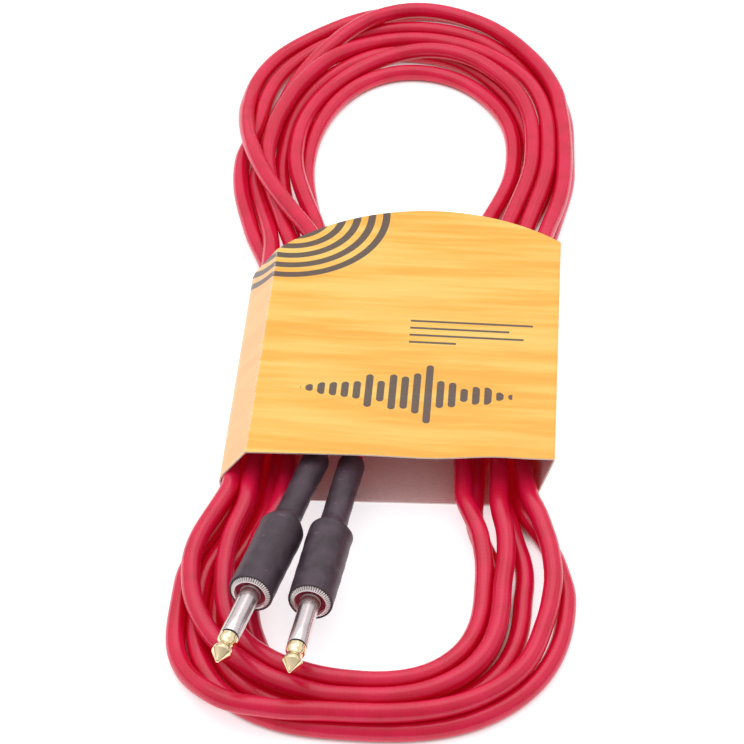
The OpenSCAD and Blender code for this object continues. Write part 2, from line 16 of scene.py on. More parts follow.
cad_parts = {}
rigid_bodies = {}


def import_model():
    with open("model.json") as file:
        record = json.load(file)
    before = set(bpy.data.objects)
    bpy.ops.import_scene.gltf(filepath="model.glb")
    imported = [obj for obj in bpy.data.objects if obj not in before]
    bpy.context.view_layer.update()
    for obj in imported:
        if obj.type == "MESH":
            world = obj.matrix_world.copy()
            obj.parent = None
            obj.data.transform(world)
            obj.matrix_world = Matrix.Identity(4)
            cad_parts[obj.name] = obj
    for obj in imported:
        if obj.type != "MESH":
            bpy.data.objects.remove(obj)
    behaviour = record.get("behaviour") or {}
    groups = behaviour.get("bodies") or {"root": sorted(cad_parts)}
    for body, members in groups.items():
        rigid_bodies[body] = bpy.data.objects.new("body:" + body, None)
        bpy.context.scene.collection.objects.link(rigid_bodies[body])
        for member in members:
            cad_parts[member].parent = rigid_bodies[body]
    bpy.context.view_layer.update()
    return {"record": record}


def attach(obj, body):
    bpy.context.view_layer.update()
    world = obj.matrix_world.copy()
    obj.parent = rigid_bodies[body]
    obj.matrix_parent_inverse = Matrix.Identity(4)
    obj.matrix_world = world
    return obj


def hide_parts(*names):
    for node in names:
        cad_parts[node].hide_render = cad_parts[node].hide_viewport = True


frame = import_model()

LOG = logging.getLogger("instrument_cable")
MM = 0.001
TEETH = 48
RING_R = 6.5 * MM
MOUNT_AHEAD = 9.9 * MM
Array = np.ndarray
Pair = tuple[float, float]
Triple = tuple[float, float, float]
Colour = Triple
Material = bpy.types.Material
Piece = bpy.types.Object
Swell = Callable[[Array, Array], Array]


# ---------------------------------------------------------------- shader maths

class Value:
    """One output socket of a material, with Python's arithmetic on it."""

    def __init__(self, graph: "Graph", socket: bpy.types.NodeSocket) -> None:
        """Wrap a socket of a graph."""
        self.graph = graph
        self.socket = socket

    def maths(self, operation: str, *values: "Value | float") -> "Value":
        """Add a Math node of an operation, with its inputs in order."""
        return self.graph.node("ShaderNodeMath", {"operation": operation},
                               dict(enumerate(values)))

    def __add__(self, other: "Value | float") -> "Value":
        """Sum."""
        return self.maths("ADD", self, other)

    def __sub__(self, other: "Value | float") -> "Value":
        """Difference."""
        return self.maths("SUBTRACT", self, other)

    def __rsub__(self, other: float) -> "Value":
        """Difference from a number."""
        return self.maths("SUBTRACT", other, self)

    def __mul__(self, other: "Value | float") -> "Value":
        """Product."""
        return self.maths("MULTIPLY", self, other)

    def __truediv__(self, other: "Value | float") -> "Value":
        """Quotient."""
        return self.maths("DIVIDE", self, other)

    def apply(self, operation: str) -> "Value":
        """Apply an operation of one input, such as ABSOLUTE or FRACT."""
        return self.maths(operation, self)

    def at_least(self, other: "Value | float") -> "Value":
        """Greater of two values."""
        return self.maths("MAXIMUM", self, other)

    def at_most(self, other: "Value | float") -> "Value":
        """Lesser of two values."""
        return self.maths("MINIMUM", self, other)

    def ramp(self, low: float, high: float) -> "Value":
        """Rise smoothly from 0 at low to 1 at high (falls where high is less).

        Args:
            low: value that gives 0.
            high: value that gives 1.
        Returns:
            The eased share.
        """
        if low > high:
            return 1.0 - self.ramp(high, low)
        settings = {"interpolation_type": "SMOOTHSTEP"}
        links = {"Value": self, "From Min": low, "From Max": high}
        return self.graph.node("ShaderNodeMapRange", settings, links)


class Graph:
    """The node tree of one material, with its Principled shader."""

    def __init__(self, name: str) -> None:
        """Start a material with one Principled shader."""
        self.material = bpy.data.materials.new(name)
        self.material.use_nodes = True
        self.nodes = self.material.node_tree.nodes
        self.links = self.material.node_tree.links
        self.shader = self.nodes["Principled BSDF"]

    def plug(self, target: bpy.types.NodeSocket, value: Any) -> None:
        """Link a value to an input socket, or set a plain value on it.

        Args:
            target: the input socket.
            value: output to link, or the number, vector or colour to set.
        """
        if isinstance(value, Value):
            self.links.new(value.socket, target)
        elif isinstance(value, (tuple, list)) and len(value) == 3 and target.type == "RGBA":
            target.default_value = (*value, 1.0)
        else:
            target.default_value = value

    def node(self, kind: str, settings: dict[str, Any], inputs: dict[Any, Any],
             output: int | str = 0) -> Value:
        """Add any node.

        Args:
            kind: the node's type.
            settings: properties that are set first.
            inputs: values or links by socket name or number.
            output: the socket that is returned.
        Returns:
            The chosen output.
        """
        made = self.nodes.new(kind)
        for name, value in settings.items():
            setattr(made, name, value)
        for name, value in inputs.items():
            self.plug(made.inputs[name], value)
        return Value(self, made.outputs[output])

    def colour(self, factor: Value, low: Any, high: Any) -> Value:
        """Mix two colours; the factor is the share of the second one."""
        settings = {"data_type": "RGBA"}
        return self.node("ShaderNodeMix", settings, {0: factor, 6: low, 7: high}, 2)

    def place(self) -> Value:
        """Position on the object."""
        return self.node("ShaderNodeTexCoord", {}, {}, "Object")

    def unwrapped(self) -> tuple[Value, Value]:
        """Split the piece's own UV map.

        Returns:
            Its two numbers.
        """
        whole = self.node("ShaderNodeTexCoord", {}, {}, "UV")
        first = self.node("ShaderNodeSeparateXYZ", {}, {0: whole})
        return first, Value(self, first.socket.node.outputs[1])

    def scaled(self, vector: Value, by: Triple) -> Value:
        """Multiply a vector by three numbers."""
        return self.node("ShaderNodeVectorMath", {"operation": "MULTIPLY"}, {0: vector, 1: by})

    def noise(self, vector: Value, scale: float, detail: float) -> Value:
        """Cloudy pattern from 0 to 1 about 0.5, of 'scale' patches to a metre."""
        links = {"Vector": vector, "Scale": scale, "Detail": detail}
        return self.node("ShaderNodeTexNoise", {}, links)

    def clouds(self, scale: float, detail: float) -> Value:
        """Noise on the object."""
        return self.noise(self.place(), scale, detail)

    def streaks(self, u: Value, v: Value, scales: Pair, detail: float) -> Value:
        """Noise with its own number of patches to a metre along u and along v."""
        vector = self.node("ShaderNodeCombineXYZ", {}, {0: u * scales[0], 1: v * scales[1]})
        return self.noise(vector, 1.0, detail)

    def cells(self, vector: Value, scale: float) -> Value:
        """Distance from the nearest of scattered points."""
        return self.node("ShaderNodeTexVoronoi", {}, {"Vector": vector, "Scale": scale})

    def open_to_light(self, reach: float) -> Value:
        """Share of the directions above a point that are free as far as reach."""
        return self.node("ShaderNodeAmbientOcclusion", {"samples": 8}, {"Distance": reach}, "AO")

    def bump(self, height: Value, depth: float) -> Value:
        """Turn a height from 0 to 1 into a normal, 'depth' metres deep."""
        return self.node("ShaderNodeBump", {}, {"Height": height, "Distance": depth})

    def finish(self, **inputs: Any) -> Material:
        """Set the shader's sockets, named with underscores for spaces.

        Args:
            inputs: value or link for each socket.
        Returns:
            The finished material.
        """
        for name, value in inputs.items():
            self.plug(self.shader.inputs[name.replace("_", " ")], value)
        return self.material


# -------------------------------------------------------------------- finishes

BLACK: Colour = (0.0, 0.0, 0.0)


def darker(colour: Colour, share: float) -> Colour:
    """A share of a colour."""
    return tuple(share * part for part in colour)


@dataclass(frozen=True)
class JacketFinish:
    """Glossy, slightly clear red jacket with the shield's braid faintly under it.

    Where the turns beside it shut out the light, the red is painted deeper as painted shade, and a
    faint red painted glow is added there.
    The UV map is in metres along the cord and around it.
    """

    red: Colour = (0.790, 0.005, 0.068)
    deep: Colour = (0.620, 0.003, 0.036)
    painted_valley_shade: Colour = (0.420, 0.001, 0.008)
    painted_glow: Colour = (0.115, 0.0003, 0.002)
    valley_reach: float = 6 * MM
    roughness: float = 0.24
    gloss: float = 1.5
    braid_angle: float = 38.0
    braid_waves: float = 2600.0
    cloud_scale: float = 90.0
    scuff_scales: Pair = (60.0, 700.0)
    relief: float = 0.02 * MM

    def material(self) -> Material:
        """Build the material.

        Returns:
            The finished material.
        """
        g = Graph("jacket_red")
        along, around = g.unwrapped()
        lean = along * math.tan(math.radians(self.braid_angle))
        left = ((around + lean) * self.braid_waves).apply("SINE")
        right = ((around - lean) * self.braid_waves).apply("SINE")
        braid = left * right * 0.5 + 0.5
        clouds = g.clouds(self.cloud_scale, 3.0)
        base = g.colour(clouds.ramp(0.35, 0.65) * 0.55 + braid * 0.25, self.deep, self.red)
        # Painted shade and painted glow: where the turns close in, the red darkens and a faint red
        # emission is added.
        closed = g.open_to_light(self.valley_reach).ramp(0.75, 0.20)
        base = g.colour(closed, base, self.painted_valley_shade)
        glow = g.colour(closed, BLACK, self.painted_glow)
        rough = clouds * 0.10 + (self.roughness - 0.05)
        scuffs = g.streaks(along, around, self.scuff_scales, 3.0)
        normal = g.bump(braid * 0.3 + scuffs * 0.6 + clouds * 0.4, self.relief)
        return g.finish(Base_Color=base, Roughness=rough, Normal=normal, IOR=self.gloss,
                        Emission_Color=glow, Emission_Strength=1.0)


@dataclass(frozen=True)
class MetalFinish:
    """Plated metal that is faintly clouded and speckled."""

    name: str
    base: Colour
    roughness: float
    marks: float = 0.15
    cloud_scale: float = 900.0
    speck_scale: float = 4200.0
    relief: float = 0.004 * MM

    def material(self) -> Material:
        """Build the material.

        Returns:
            The finished material.
        """
        g = Graph(self.name)
        clouds = g.clouds(self.cloud_scale, 4.0)
        specks = g.clouds(self.speck_scale, 2.0)
        tint = g.colour(clouds.ramp(0.3, 0.7), self.base, darker(self.base, 0.86))
        rough = clouds * self.marks + specks * 0.08 + (self.roughness - 0.5 * self.marks)
        normal = g.bump(specks * 0.6 + clouds * 0.4, self.relief)
        return g.finish(Base_Color=tint, Metallic=1.0, Roughness=rough, Normal=normal)


@dataclass(frozen=True)
class PlasticFinish:
    """Moulded or cut plastic with a little unevenness."""

    name: str
    base: Colour
    roughness: float
    cloud_scale: float = 700.0
    grain_scale: float = 5000.0
    relief: float = 0.01 * MM

    def material(self) -> Material:
        """Build the material.

        Returns:
            The finished material.
        """
        g = Graph(self.name)
        clouds = g.clouds(self.cloud_scale, 3.0)
        tint = g.colour(clouds.ramp(0.3, 0.7), self.base, darker(self.base, 0.8))
        rough = clouds * 0.12 + (self.roughness - 0.06)
        normal = g.bump(g.clouds(self.grain_scale, 2.0), self.relief)
        return g.finish(Base_Color=tint, Roughness=rough, Normal=normal)


@dataclass(frozen=True)
class CardPrint:
    """Printed outer face of the card: streaked amber with plain charcoal shapes, and a painted
    lighter, paler left wall.

    The UV map is the unfolded card in metres: U runs from the left fold across the
    top panel, and V from the front edge to the rear one.
    """

    amber: Colour = (0.930, 0.490, 0.048)
    orange: Colour = (0.910, 0.415, 0.030)
    pale: Colour = (0.940, 0.620, 0.125)
    painted_side_light: Colour = (0.950, 0.560, 0.270)
    charcoal: Colour = (0.045, 0.036, 0.040)
    bare: Colour = (0.95, 0.88, 0.74)
    wide_scales: Pair = (9.0, 95.0)
    fine_scales: Pair = (26.0, 420.0)
    worn_scale: float = 1500.0
    grain_scale: float = 3200.0
    warp_scale: float = 180.0
    relief: float = 0.03 * MM
    fold: float = 101.2 * MM
    bar_step: float = 4.0 * MM
    bar_half: float = 1.25 * MM
    bar_blur: float = 0.04 * MM
    swells: tuple[Triple, ...] = ((0.83, 0.0, 0.3), (0.31, 0.7, 0.3), (1.97, 2.0, 0.22))
    wave_middle: float = 30 * MM
    wave_height: float = 15 * MM
    ring_centre: Pair = (4 * MM, 121 * MM)
    ring_step: float = 5.2 * MM
    ring_reach: float = 36.8 * MM
    ring_core: float = 10 * MM
    ring_blur: float = 0.2 * MM
    rule_left: float = 50 * MM
    rule_rights: tuple[float, ...] = (92 * MM, 84 * MM, 89 * MM, 66 * MM)
    rule_top: float = 66 * MM
    rule_step: float = 3.6 * MM
    rule_half: float = 0.5 * MM
    rule_blur: float = 0.05 * MM

    def wave(self, u: Value, v: Value) -> Value:
        """Row of rounded upright bars whose heights swell and shrink like a sound.

        The height of bar n is the sum of three sine waves of n, each of a rate, a
        start and a height. A bar is all that is nearer to its core line than its
        half width.

        Args:
            u: distance across the card.
            v: distance from its front edge.
        Returns:
            One on a bar, else zero.
        """
        place = u / self.bar_step
        number = place.apply("FLOOR")
        across = (place.apply("FRACT") - 0.5) * self.bar_step
        first, second, third = ((number * rate + start).apply("SINE") * height
                                for rate, start, height in self.swells)
        swell = (first + second + third).apply("ABSOLUTE") + 0.10
        off_middle = (u - 0.5 * self.fold).apply("ABSOLUTE") / self.fold
        ends = (1.0 - off_middle / 0.36).ramp(0, 0.5)
        half = swell * ends * self.wave_height
        beyond = ((v - self.wave_middle).apply("ABSOLUTE") - half).at_least(0.0)
        distance = (across * across + beyond * beyond).apply("SQRT")
        inside = distance.ramp(self.bar_half + self.bar_blur, self.bar_half - self.bar_blur)
        return inside * off_middle.ramp(0.352, 0.35)

    def rings(self, u: Value, v: Value) -> Value:
        """Concentric rings about a point beyond the rear left corner.

        Args:
            u: distance across the card.
            v: distance from its front edge.
        Returns:
            One on a ring, else zero.
        """
        du, dv = u - self.ring_centre[0], v - self.ring_centre[1]
        radius = (du * du + dv * dv).apply("SQRT")
        band = ((radius / self.ring_step).apply("FRACT") - 0.5).apply("ABSOLUTE")
        reach = radius.ramp(self.ring_reach + self.ring_blur, self.ring_reach - self.ring_blur)
        core = radius.ramp(self.ring_core - self.ring_blur, self.ring_core + self.ring_blur)
        return band.ramp(0.27, 0.25) * reach * core

    def rules(self, u: Value, v: Value) -> Value:
        """Four thin level rules of unequal length.

        Args:
            u: distance across the card.
            v: distance from its front edge.
        Returns:
            One on a rule, else zero.
        """
        blur = self.rule_blur
        left = u.ramp(self.rule_left - 2 * blur, self.rule_left)
        drawn: Any = 0.0
        for row, right in enumerate(self.rule_rights):
            off_line = (v - (self.rule_top - self.rule_step * row)).apply("ABSOLUTE")
            line = off_line.ramp(self.rule_half + blur, self.rule_half - blur)
            drawn = (line * left * u.ramp(right + 2 * blur, right)).at_least(drawn)
        return drawn

    def material(self) -> Material:
        """Build the material.

        Returns:
            The finished material.
        """
        g = Graph("card_print")
        u, v = g.unwrapped()
        streak = (g.streaks(u, v, self.wide_scales, 4.0) * 0.75
                  + g.streaks(u, v, self.fine_scales, 3.0) * 0.25)
        base = g.colour(streak.ramp(0.42, 0.62), self.amber, self.pale)
        base = g.colour(streak.ramp(0.50, 0.36) * 0.75, base, self.orange)
        # Painted light: the left wall is made paler and lighter, standing in for light falling on
        # that side.
        left_wall = u.ramp(0.4 * MM, -0.4 * MM)
        base = g.colour(left_wall * 0.7, base, self.painted_side_light)
        worn = g.clouds(self.worn_scale, 3.0)
        ink = self.wave(u, v).at_least(self.rings(u, v)).at_least(self.rules(u, v))
        ink = ink * (worn * 0.14 + 0.86)
        base = g.colour(ink, base, self.charcoal)
        off_fold = u.apply("ABSOLUTE").at_most((u - self.fold).apply("ABSOLUTE"))
        rubbed = off_fold.ramp(0.7 * MM, 0.1 * MM) * worn.ramp(0.35, 0.6)
        base = g.colour(rubbed * 0.5, base, self.bare)
        grain = g.clouds(self.grain_scale, 3.0)
        rough = grain * 0.12 + 0.36 - ink * 0.08
        normal = g.bump(grain * 0.5 + g.clouds(self.warp_scale, 2.0) * 3.0, self.relief)
        return g.finish(Base_Color=base, Roughness=rough, Normal=normal, Coat_Weight=0.15,
                        Coat_Roughness=0.25)


@dataclass(frozen=True)
class CardBack:
    """Unprinted inside of the card, pale card with painted pink bounce light from the red cord, or
    its pale cut edge.
    """

    name: str
    base: Colour
    fibre: Colour
    fibre_scales: Triple = (900.0, 2600.0, 900.0)
    speck_scale: float = 700.0
    relief: float = 0.04 * MM

    def material(self) -> Material:
        """Build the material.

        Returns:
            The finished material.
        """
        g = Graph(self.name)
        fibres = g.noise(g.scaled(g.place(), self.fibre_scales), 1.0, 4.0)
        specks = g.cells(g.place(), self.speck_scale).ramp(0.10, 0.04)
        tint = g.colour(fibres.ramp(0.4, 0.7) * 0.5 + specks * 0.3, self.base, self.fibre)
        normal = g.bump(fibres, self.relief)
        return g.finish(Base_Color=tint, Roughness=fibres * 0.15 + 0.68, Normal=normal)


@dataclass(frozen=True)
class BootFinish:
    """Semi-matte charcoal shrink sleeve with scuffs and faint drawn marks.

    The UV map is in metres along the boot and around it.
    """

    name: str
    charcoal: Colour = (0.062, 0.036, 0.052)
    light: Colour = (0.110, 0.078, 0.098)
    dark: Colour = (0.038, 0.023, 0.032)
    mark: Colour = (0.30, 0.25, 0.28)
    mottle_scale: float = 160.0
    grain_scale: float = 4200.0
    drawn_scales: Pair = (170.0, 700.0)
    scuff_scales: Pair = (900.0, 150.0)
    relief: float = 0.05 * MM

    def material(self) -> Material:
        """Build the material.

        Returns:
            The finished material.
        """
        g = Graph(self.name)
        along, around = g.unwrapped()
        mottle = g.clouds(self.mottle_scale, 4.0)
        drawn = g.streaks(along, around, self.drawn_scales, 3.0)
        scuff = g.streaks(along, around, self.scuff_scales, 2.0)
        scuffs = scuff.ramp(0.67, 0.72) * mottle.ramp(0.50, 0.60)
        tint = g.colour(mottle.ramp(0.36, 0.64), self.dark, self.charcoal)
        tint = g.colour(drawn.ramp(0.45, 0.75) * 0.2, tint, self.light)
        tint = g.colour(scuffs * 0.5, tint, self.mark)
        grain = g.clouds(self.grain_scale, 2.0)
        rough = mottle * 0.18 + drawn * 0.06 + 0.34 + scuffs * 0.15
        normal = g.bump(grain * 0.25 + drawn * 0.4 + mottle * 1.4, self.relief)
        return g.finish(Base_Color=tint, Roughness=rough, Normal=normal)


@dataclass(frozen=True)
class TurnedFinish:
    """Plated metal turned on a lathe, with fine lines round it.

    The UV map is in metres along the profile and around the piece.
    """

    name: str
    base: Colour
    roughness: float
    lines: float = 0.4
    line_scales: Pair = (9000.0, 60.0)
    smear_scale: float = 300.0
    scratch_scales: Pair = (260.0, 5200.0)
    relief: float = 0.002 * MM

    def polish(self, g: Graph) -> tuple[Value, Value, Value]:
        """Work out the look of the turned metal.

        Args:
            g: the material's graph.
        Returns:
            Its tint, roughness and normal.
        """
        along, around = g.unwrapped()
        rings = g.streaks(along, around, self.line_scales, 2.0)
        smear = g.clouds(self.smear_scale, 2.0)
        scratch = g.streaks(along, around, self.scratch_scales, 2.0).ramp(0.68, 0.78)
        tint = g.colour(smear.ramp(0.35, 0.7) * 0.3, self.base, darker(self.base, 0.86))
        rough = smear * 0.06 + rings * 0.04 + scratch * 0.10 + (self.roughness - 0.05)
        return tint, rough, g.bump(rings * self.lines + scratch * 0.4, self.relief)

    def material(self) -> Material:
        """Build the material.

        Returns:
            The finished material.
        """
        g = Graph(self.name)
        tint, rough, normal = self.polish(g)
        return g.finish(Base_Color=tint, Metallic=1.0, Roughness=rough, Normal=normal)


@dataclass(frozen=True)
class KnurledFinish(TurnedFinish):
    """Turned metal with a darkened groove between each two teeth of its rim."""

    toothed_from: float = 1.6 * MM
    toothed_to: float = 4.72 * MM
    blur: float = 0.1 * MM
    groove_tint: Colour = (0.16, 0.13, 0.13)
    # Half metallic, so the near-white base shows as painted brightness standing in for reflected
    # light.
    metal: float = 0.5

    def material(self) -> Material:
        """Build the material: a cosine of teeth * angle darkens the toothed stretch.

        Returns:
            The finished material.
        """
        g = Graph(self.name)
        tint, rough, normal = self.polish(g)
        along, around = g.unwrapped()
        wave = (around * (TEETH / RING_R)).apply("COSINE") * -0.5 + 0.5
        band = (along.ramp(self.toothed_from, self.toothed_from + self.blur)
                * along.ramp(self.toothed_to + self.blur, self.toothed_to))
        groove = wave.ramp(0.50, 0.98) * band
        # Darker in the grooves between the teeth.
        tint = g.colour(groove * 0.8, tint, self.groove_tint)
        return g.finish(Base_Color=tint, Metallic=self.metal, Roughness=rough + groove * 0.2,
                        Normal=normal)


# --------------------------------------------------------------------- shapes

def eased(u: Array) -> Array:
    """Rise from 0 to 1 along half a cosine wave, level outside."""
    return 0.5 - 0.5 * np.cos(np.pi * np.clip(u, 0.0, 1.0))


def mixed(a: Any, b: Any, u: Array) -> Array:
    """Straight-line mix of a and b by the share u."""
    return a + (b - a) * u


def curve_power(v: Array, n: float) -> Array:
    """Signed power 2/n, which squares an ellipse where n is above 2."""
    return np.sign(v) * np.abs(v) ** (2.0 / n)


def lengths_along(points: Array) -> Array:
    """Distance along a path of points to each of them."""
    steps = np.linalg.norm(np.diff(points, axis=0), axis=1)
    return np.concatenate([[0.0], np.cumsum(steps)])


def resampled(points: Array, step: float) -> Array:
    """Divide a path into equal steps.

    Args:
        points: points of the path.
        step: rough length of a step.
    Returns:
        Points of the same path.
    """
    along = lengths_along(points)
    count = int(round(along[-1] / step))
    at = np.linspace(0.0, along[-1], count + 1)
    return np.stack([np.interp(at, along, points[:, i]) for i in range(3)], axis=1)


def hermite(values: Array, slopes: Array, places: Array, at: Array) -> Array:
    """Work out a curve of cubic spans.

    Args:
        values: the curve's value at each place, row by row.
        slopes: its slope there.
        places: rising numbers.
        at: numbers at which the curve is wanted.
    Returns:
        One row for each of them.
    """
    span = np.clip(np.searchsorted(places, at, side="right") - 1, 0, len(places) - 2)
    width = (places[span + 1] - places[span])[:, None]
    u = (at - places[span])[:, None] / width
    return (values[span] * (2 * u**3 - 3 * u**2 + 1) + values[span + 1] * (3 * u**2 - 2 * u**3)
            + slopes[span] * width * (u**3 - 2 * u**2 + u)
            + slopes[span + 1] * width * (u**3 - u**2))


def smooth_curve(points: Array, step: float) -> Array:
    """Carry a cubic curve through given points.

    The slope at a point is worked out from the chords to its two neighbours.

    Args:
        points: points that the curve passes through.
        step: rough distance between the points that are returned.
    Returns:
        Points on the curve, from the first of the given ones to the last.
    """
    along = lengths_along(points)
    at = np.linspace(0.0, along[-1], int(along[-1] / step) + 2)
    return hermite(points, np.gradient(points, along, axis=0), along, at)


def linked(name: str, data: bpy.types.ID) -> Piece:
    """Put an object into the scene.

    Args:
        name: name of the object.
        data: its mesh, camera or lamp.
    Returns:
        The object.
    """
    made = bpy.data.objects.new(name, data)
    bpy.context.scene.collection.objects.link(made)
    return made


def mesh_object(name: str, points: Array, faces: Sequence[Sequence[int]],
                uv: Array | None = None, smooth: bool = True) -> Piece:
    """Make an object at the origin from points and faces.

    Args:
        name: name of the piece.
        points: one row of three numbers for each vertex.
        faces: vertex numbers of each face, counter-clockwise from outside.
        uv: one row of two numbers for each face corner, in the faces' order.
        smooth: shade the faces smoothly.
    Returns:
        The new object.
    """
    mesh = bpy.data.meshes.new(name)
    mesh.from_pydata(points.tolist(), [], faces)
    if uv is not None:
        layer = mesh.uv_layers.new(name="UVMap")
        layer.data.foreach_set("uv", np.asarray(uv, dtype=np.float32).ravel())
    mesh.polygons.foreach_set("use_smooth", np.full(len(mesh.polygons), smooth))
    mesh.update()
    return linked(name, mesh)


def grid_quads(rows: int, columns: int, closed: bool) -> Array:
    """Number the corners of a grid's quads.

    Args:
        rows: rows of points.
        columns: points in each row.
        closed: whether the last column joins the first.
    Returns:
        Four vertex numbers for each quad.
    """
    span = columns if closed else columns - 1
    i, j = np.meshgrid(np.arange(rows - 1), np.arange(span), indexing="ij")
    i, j = i.ravel(), j.ravel()
    k = (j + 1) % columns
    return np.stack([i * columns + j, i * columns + k,
                     (i + 1) * columns + k, (i + 1) * columns + j], axis=1)


def board_faces(rows: int, columns: int) -> tuple[Array, Array, Array]:
    """Work out the faces of two skins that are joined all round.

    Args:
        rows: rows of points in each skin.
        columns: points in each row.
    Returns:
        Vertex numbers of the first skin's quads, the second's and the rim's.
    """
    numbers = np.arange(rows * columns).reshape(rows, columns)
    outer = grid_quads(rows, columns, False)
    rim = np.concatenate([numbers[0, :-1], numbers[:-1, -1], numbers[-1, :0:-1],
                          numbers[:0:-1, 0]])
    ahead, layer = np.roll(rim, -1), numbers.size
    sides = np.stack([ahead, rim, rim + layer, ahead + layer], axis=1)
    return outer, outer[:, ::-1] + layer, sides


def ringed_object(name: str, rings: Array, along: Array, step: float,
                  poles: Array | None) -> Piece:
    """Make an object of rings of points, with UV in metres along and around it.

    Args:
        name: name of the piece.
        rings: one row of points for each ring.
        along: distance along the piece at each ring.
        step: distance round the piece between two points of a ring.
        poles: the points that close its two ends; without them the last ring is
            the first one again.
    Returns:
        The new object.
    """
    rows, sides = rings.shape[:2]
    quads = grid_quads(rows, sides, True)
    i, j = np.divmod(np.arange(len(quads)), sides)
    u = np.stack([along[i], along[i], along[i + 1], along[i + 1]], axis=1)
    v = np.stack([j, j + 1, j + 1, j], axis=1) * step
    uv = np.stack([u, v], axis=2).reshape(-1, 2)
    if poles is None:
        points = rings[:-1].reshape(-1, 3)
        return mesh_object(name, points, (quads % len(points)).tolist(), uv)
    count, here = rows * sides, np.arange(sides)
    ahead, pole = np.roll(here, -1), np.full(sides, count)
    start = np.stack([pole, ahead, here], axis=1)
    end = np.stack([pole + 1, count - sides + here, count - sides + ahead], axis=1)
    return mesh_object(name, np.concatenate([rings.reshape(-1, 3), poles]),
                       [*quads.tolist(), *start.tolist(), *end.tolist()],
                       np.concatenate([uv, np.zeros((6 * sides, 2))]))


def square_to(ahead: Array) -> tuple[Array, Array]:
    """Find directions square to the given ones.

    Args:
        ahead: one or more directions of length 1.
    Returns:
        The level sideways direction of each, and the upward one.
    """
    side = np.cross(ahead, [0.0, 0.0, 1.0])
    side /= np.linalg.norm(side, axis=-1, keepdims=True)
    return side, np.cross(side, ahead)


def circle(ahead: Array, sides: int) -> tuple[Array, Array]:
    """Spread directions round others: side * cos(a) + up * sin(a).

    Args:
        ahead: the directions that are square to the circles.
        sides: count of the directions on each circle.
    Returns:
        The angles a, and for each given direction those round it.
    """
    side, up = square_to(ahead)
    angle = np.linspace(0.0, 2.0 * np.pi, sides, endpoint=False)
    return angle, (side[..., None, :] * np.cos(angle)[:, None]
                   + up[..., None, :] * np.sin(angle)[:, None])


def tube_object(name: str, path: Array, radius: float, sides: int) -> Piece:
    """Carry a circle along a path and close both ends with a flat cap.

    Args:
        name: name of the piece.
        path: points of the centre line.
        radius: radius of the circle.
        sides: points round each ring.
    Returns:
        The tube.
    """
    ahead = np.gradient(path, axis=0)
    ahead /= np.linalg.norm(ahead, axis=1, keepdims=True)
    rings = path[:, None, :] + circle(ahead, sides)[1] * radius
    return ringed_object(name, rings, lengths_along(path), 2.0 * np.pi * radius / sides,
                         path[[0, -1]])


def fillet(corners: Array, radii: Sequence[float], steps: int) -> Array:
    """Round the corners of a flat path of straight lines.

    At each corner the arc starts and ends r * tan(half the turn) away from it, and
    its points are a quadratic curve from there to there past the corner, which is
    within a hundredth of r of the arc for the turns that are used here.

    Args:
        corners: rows of two numbers.
        radii: radius at each corner but the first and the last.
        steps: spans of each arc.
    Returns:
        Points of the rounded path, steps + 1 for each rounded corner.
    """
    rounded = [corners[:1]]
    share = np.linspace(0.0, 1.0, steps + 1)[:, None]
    for last, here, following, radius in zip(corners, corners[1:], corners[2:], radii):
        before, after = last - here, following - here
        reach_b, reach_a = np.linalg.norm(before), np.linalg.norm(after)
        cosine = float(before @ after) / (reach_b * reach_a)
        half_turn = (math.pi - math.acos(max(-1.0, min(1.0, cosine)))) / 2
        cut = min(radius * math.tan(half_turn), 0.45 * reach_b, 0.45 * reach_a)
        start, end = here + before / reach_b * cut, here + after / reach_a * cut
        rounded.append(start * (1 - share) ** 2 + here * 2 * share * (1 - share)
                       + end * share ** 2)
    return np.concatenate([*rounded, corners[-1:]])


def lathe_object(name: str, place: "PlugPlace", profile: Array, sides: int,
                 swell: Swell | None = None) -> Piece:
    """Spin a profile round a plug's axis.

    A profile that starts and ends on the axis is closed there by one point, and any
    other joins its own start.

    Args:
        name: name of the piece.
        place: the plug's place.
        profile: rows of radius and height, with the solid on their left-hand side.
        sides: points round the axis.
        swell: function of angle and height that gives what is added to the radius.
    Returns:
        The new object.
    """
    axis, face = np.array(place.axis), np.array(place.face)
    on_axis = profile[0, 0] < 1e-7 and profile[-1, 0] < 1e-7
    body = profile[1:-1] if on_axis else np.concatenate([profile, profile[:1]])
    angle, outward = circle(axis, sides)
    radius = np.repeat(body[:, :1], sides, axis=1)
    height = np.repeat(body[:, 1:], sides, axis=1)
    if swell is not None:
        radius = radius + swell(angle[None, :], height)
    rings = face + axis * height[..., None] + radius[..., None] * outward
    along = lengths_along(np.column_stack([body, np.zeros(len(body))]))
    step = 2.0 * np.pi / sides * float(np.max(body[:, 0]))
    poles = face + axis * profile[[0, -1], 1:] if on_axis else None
    return ringed_object(name, rings, along, step, poles)


def crease(piece: Piece, angle: float = 32.0) -> None:
    """Mark edges that turn by more than an angle in degrees as sharp."""
    piece.data.set_sharp_from_angle(angle=math.radians(angle))


# ------------------------------------------------------------------ the hank

STOPS = 24


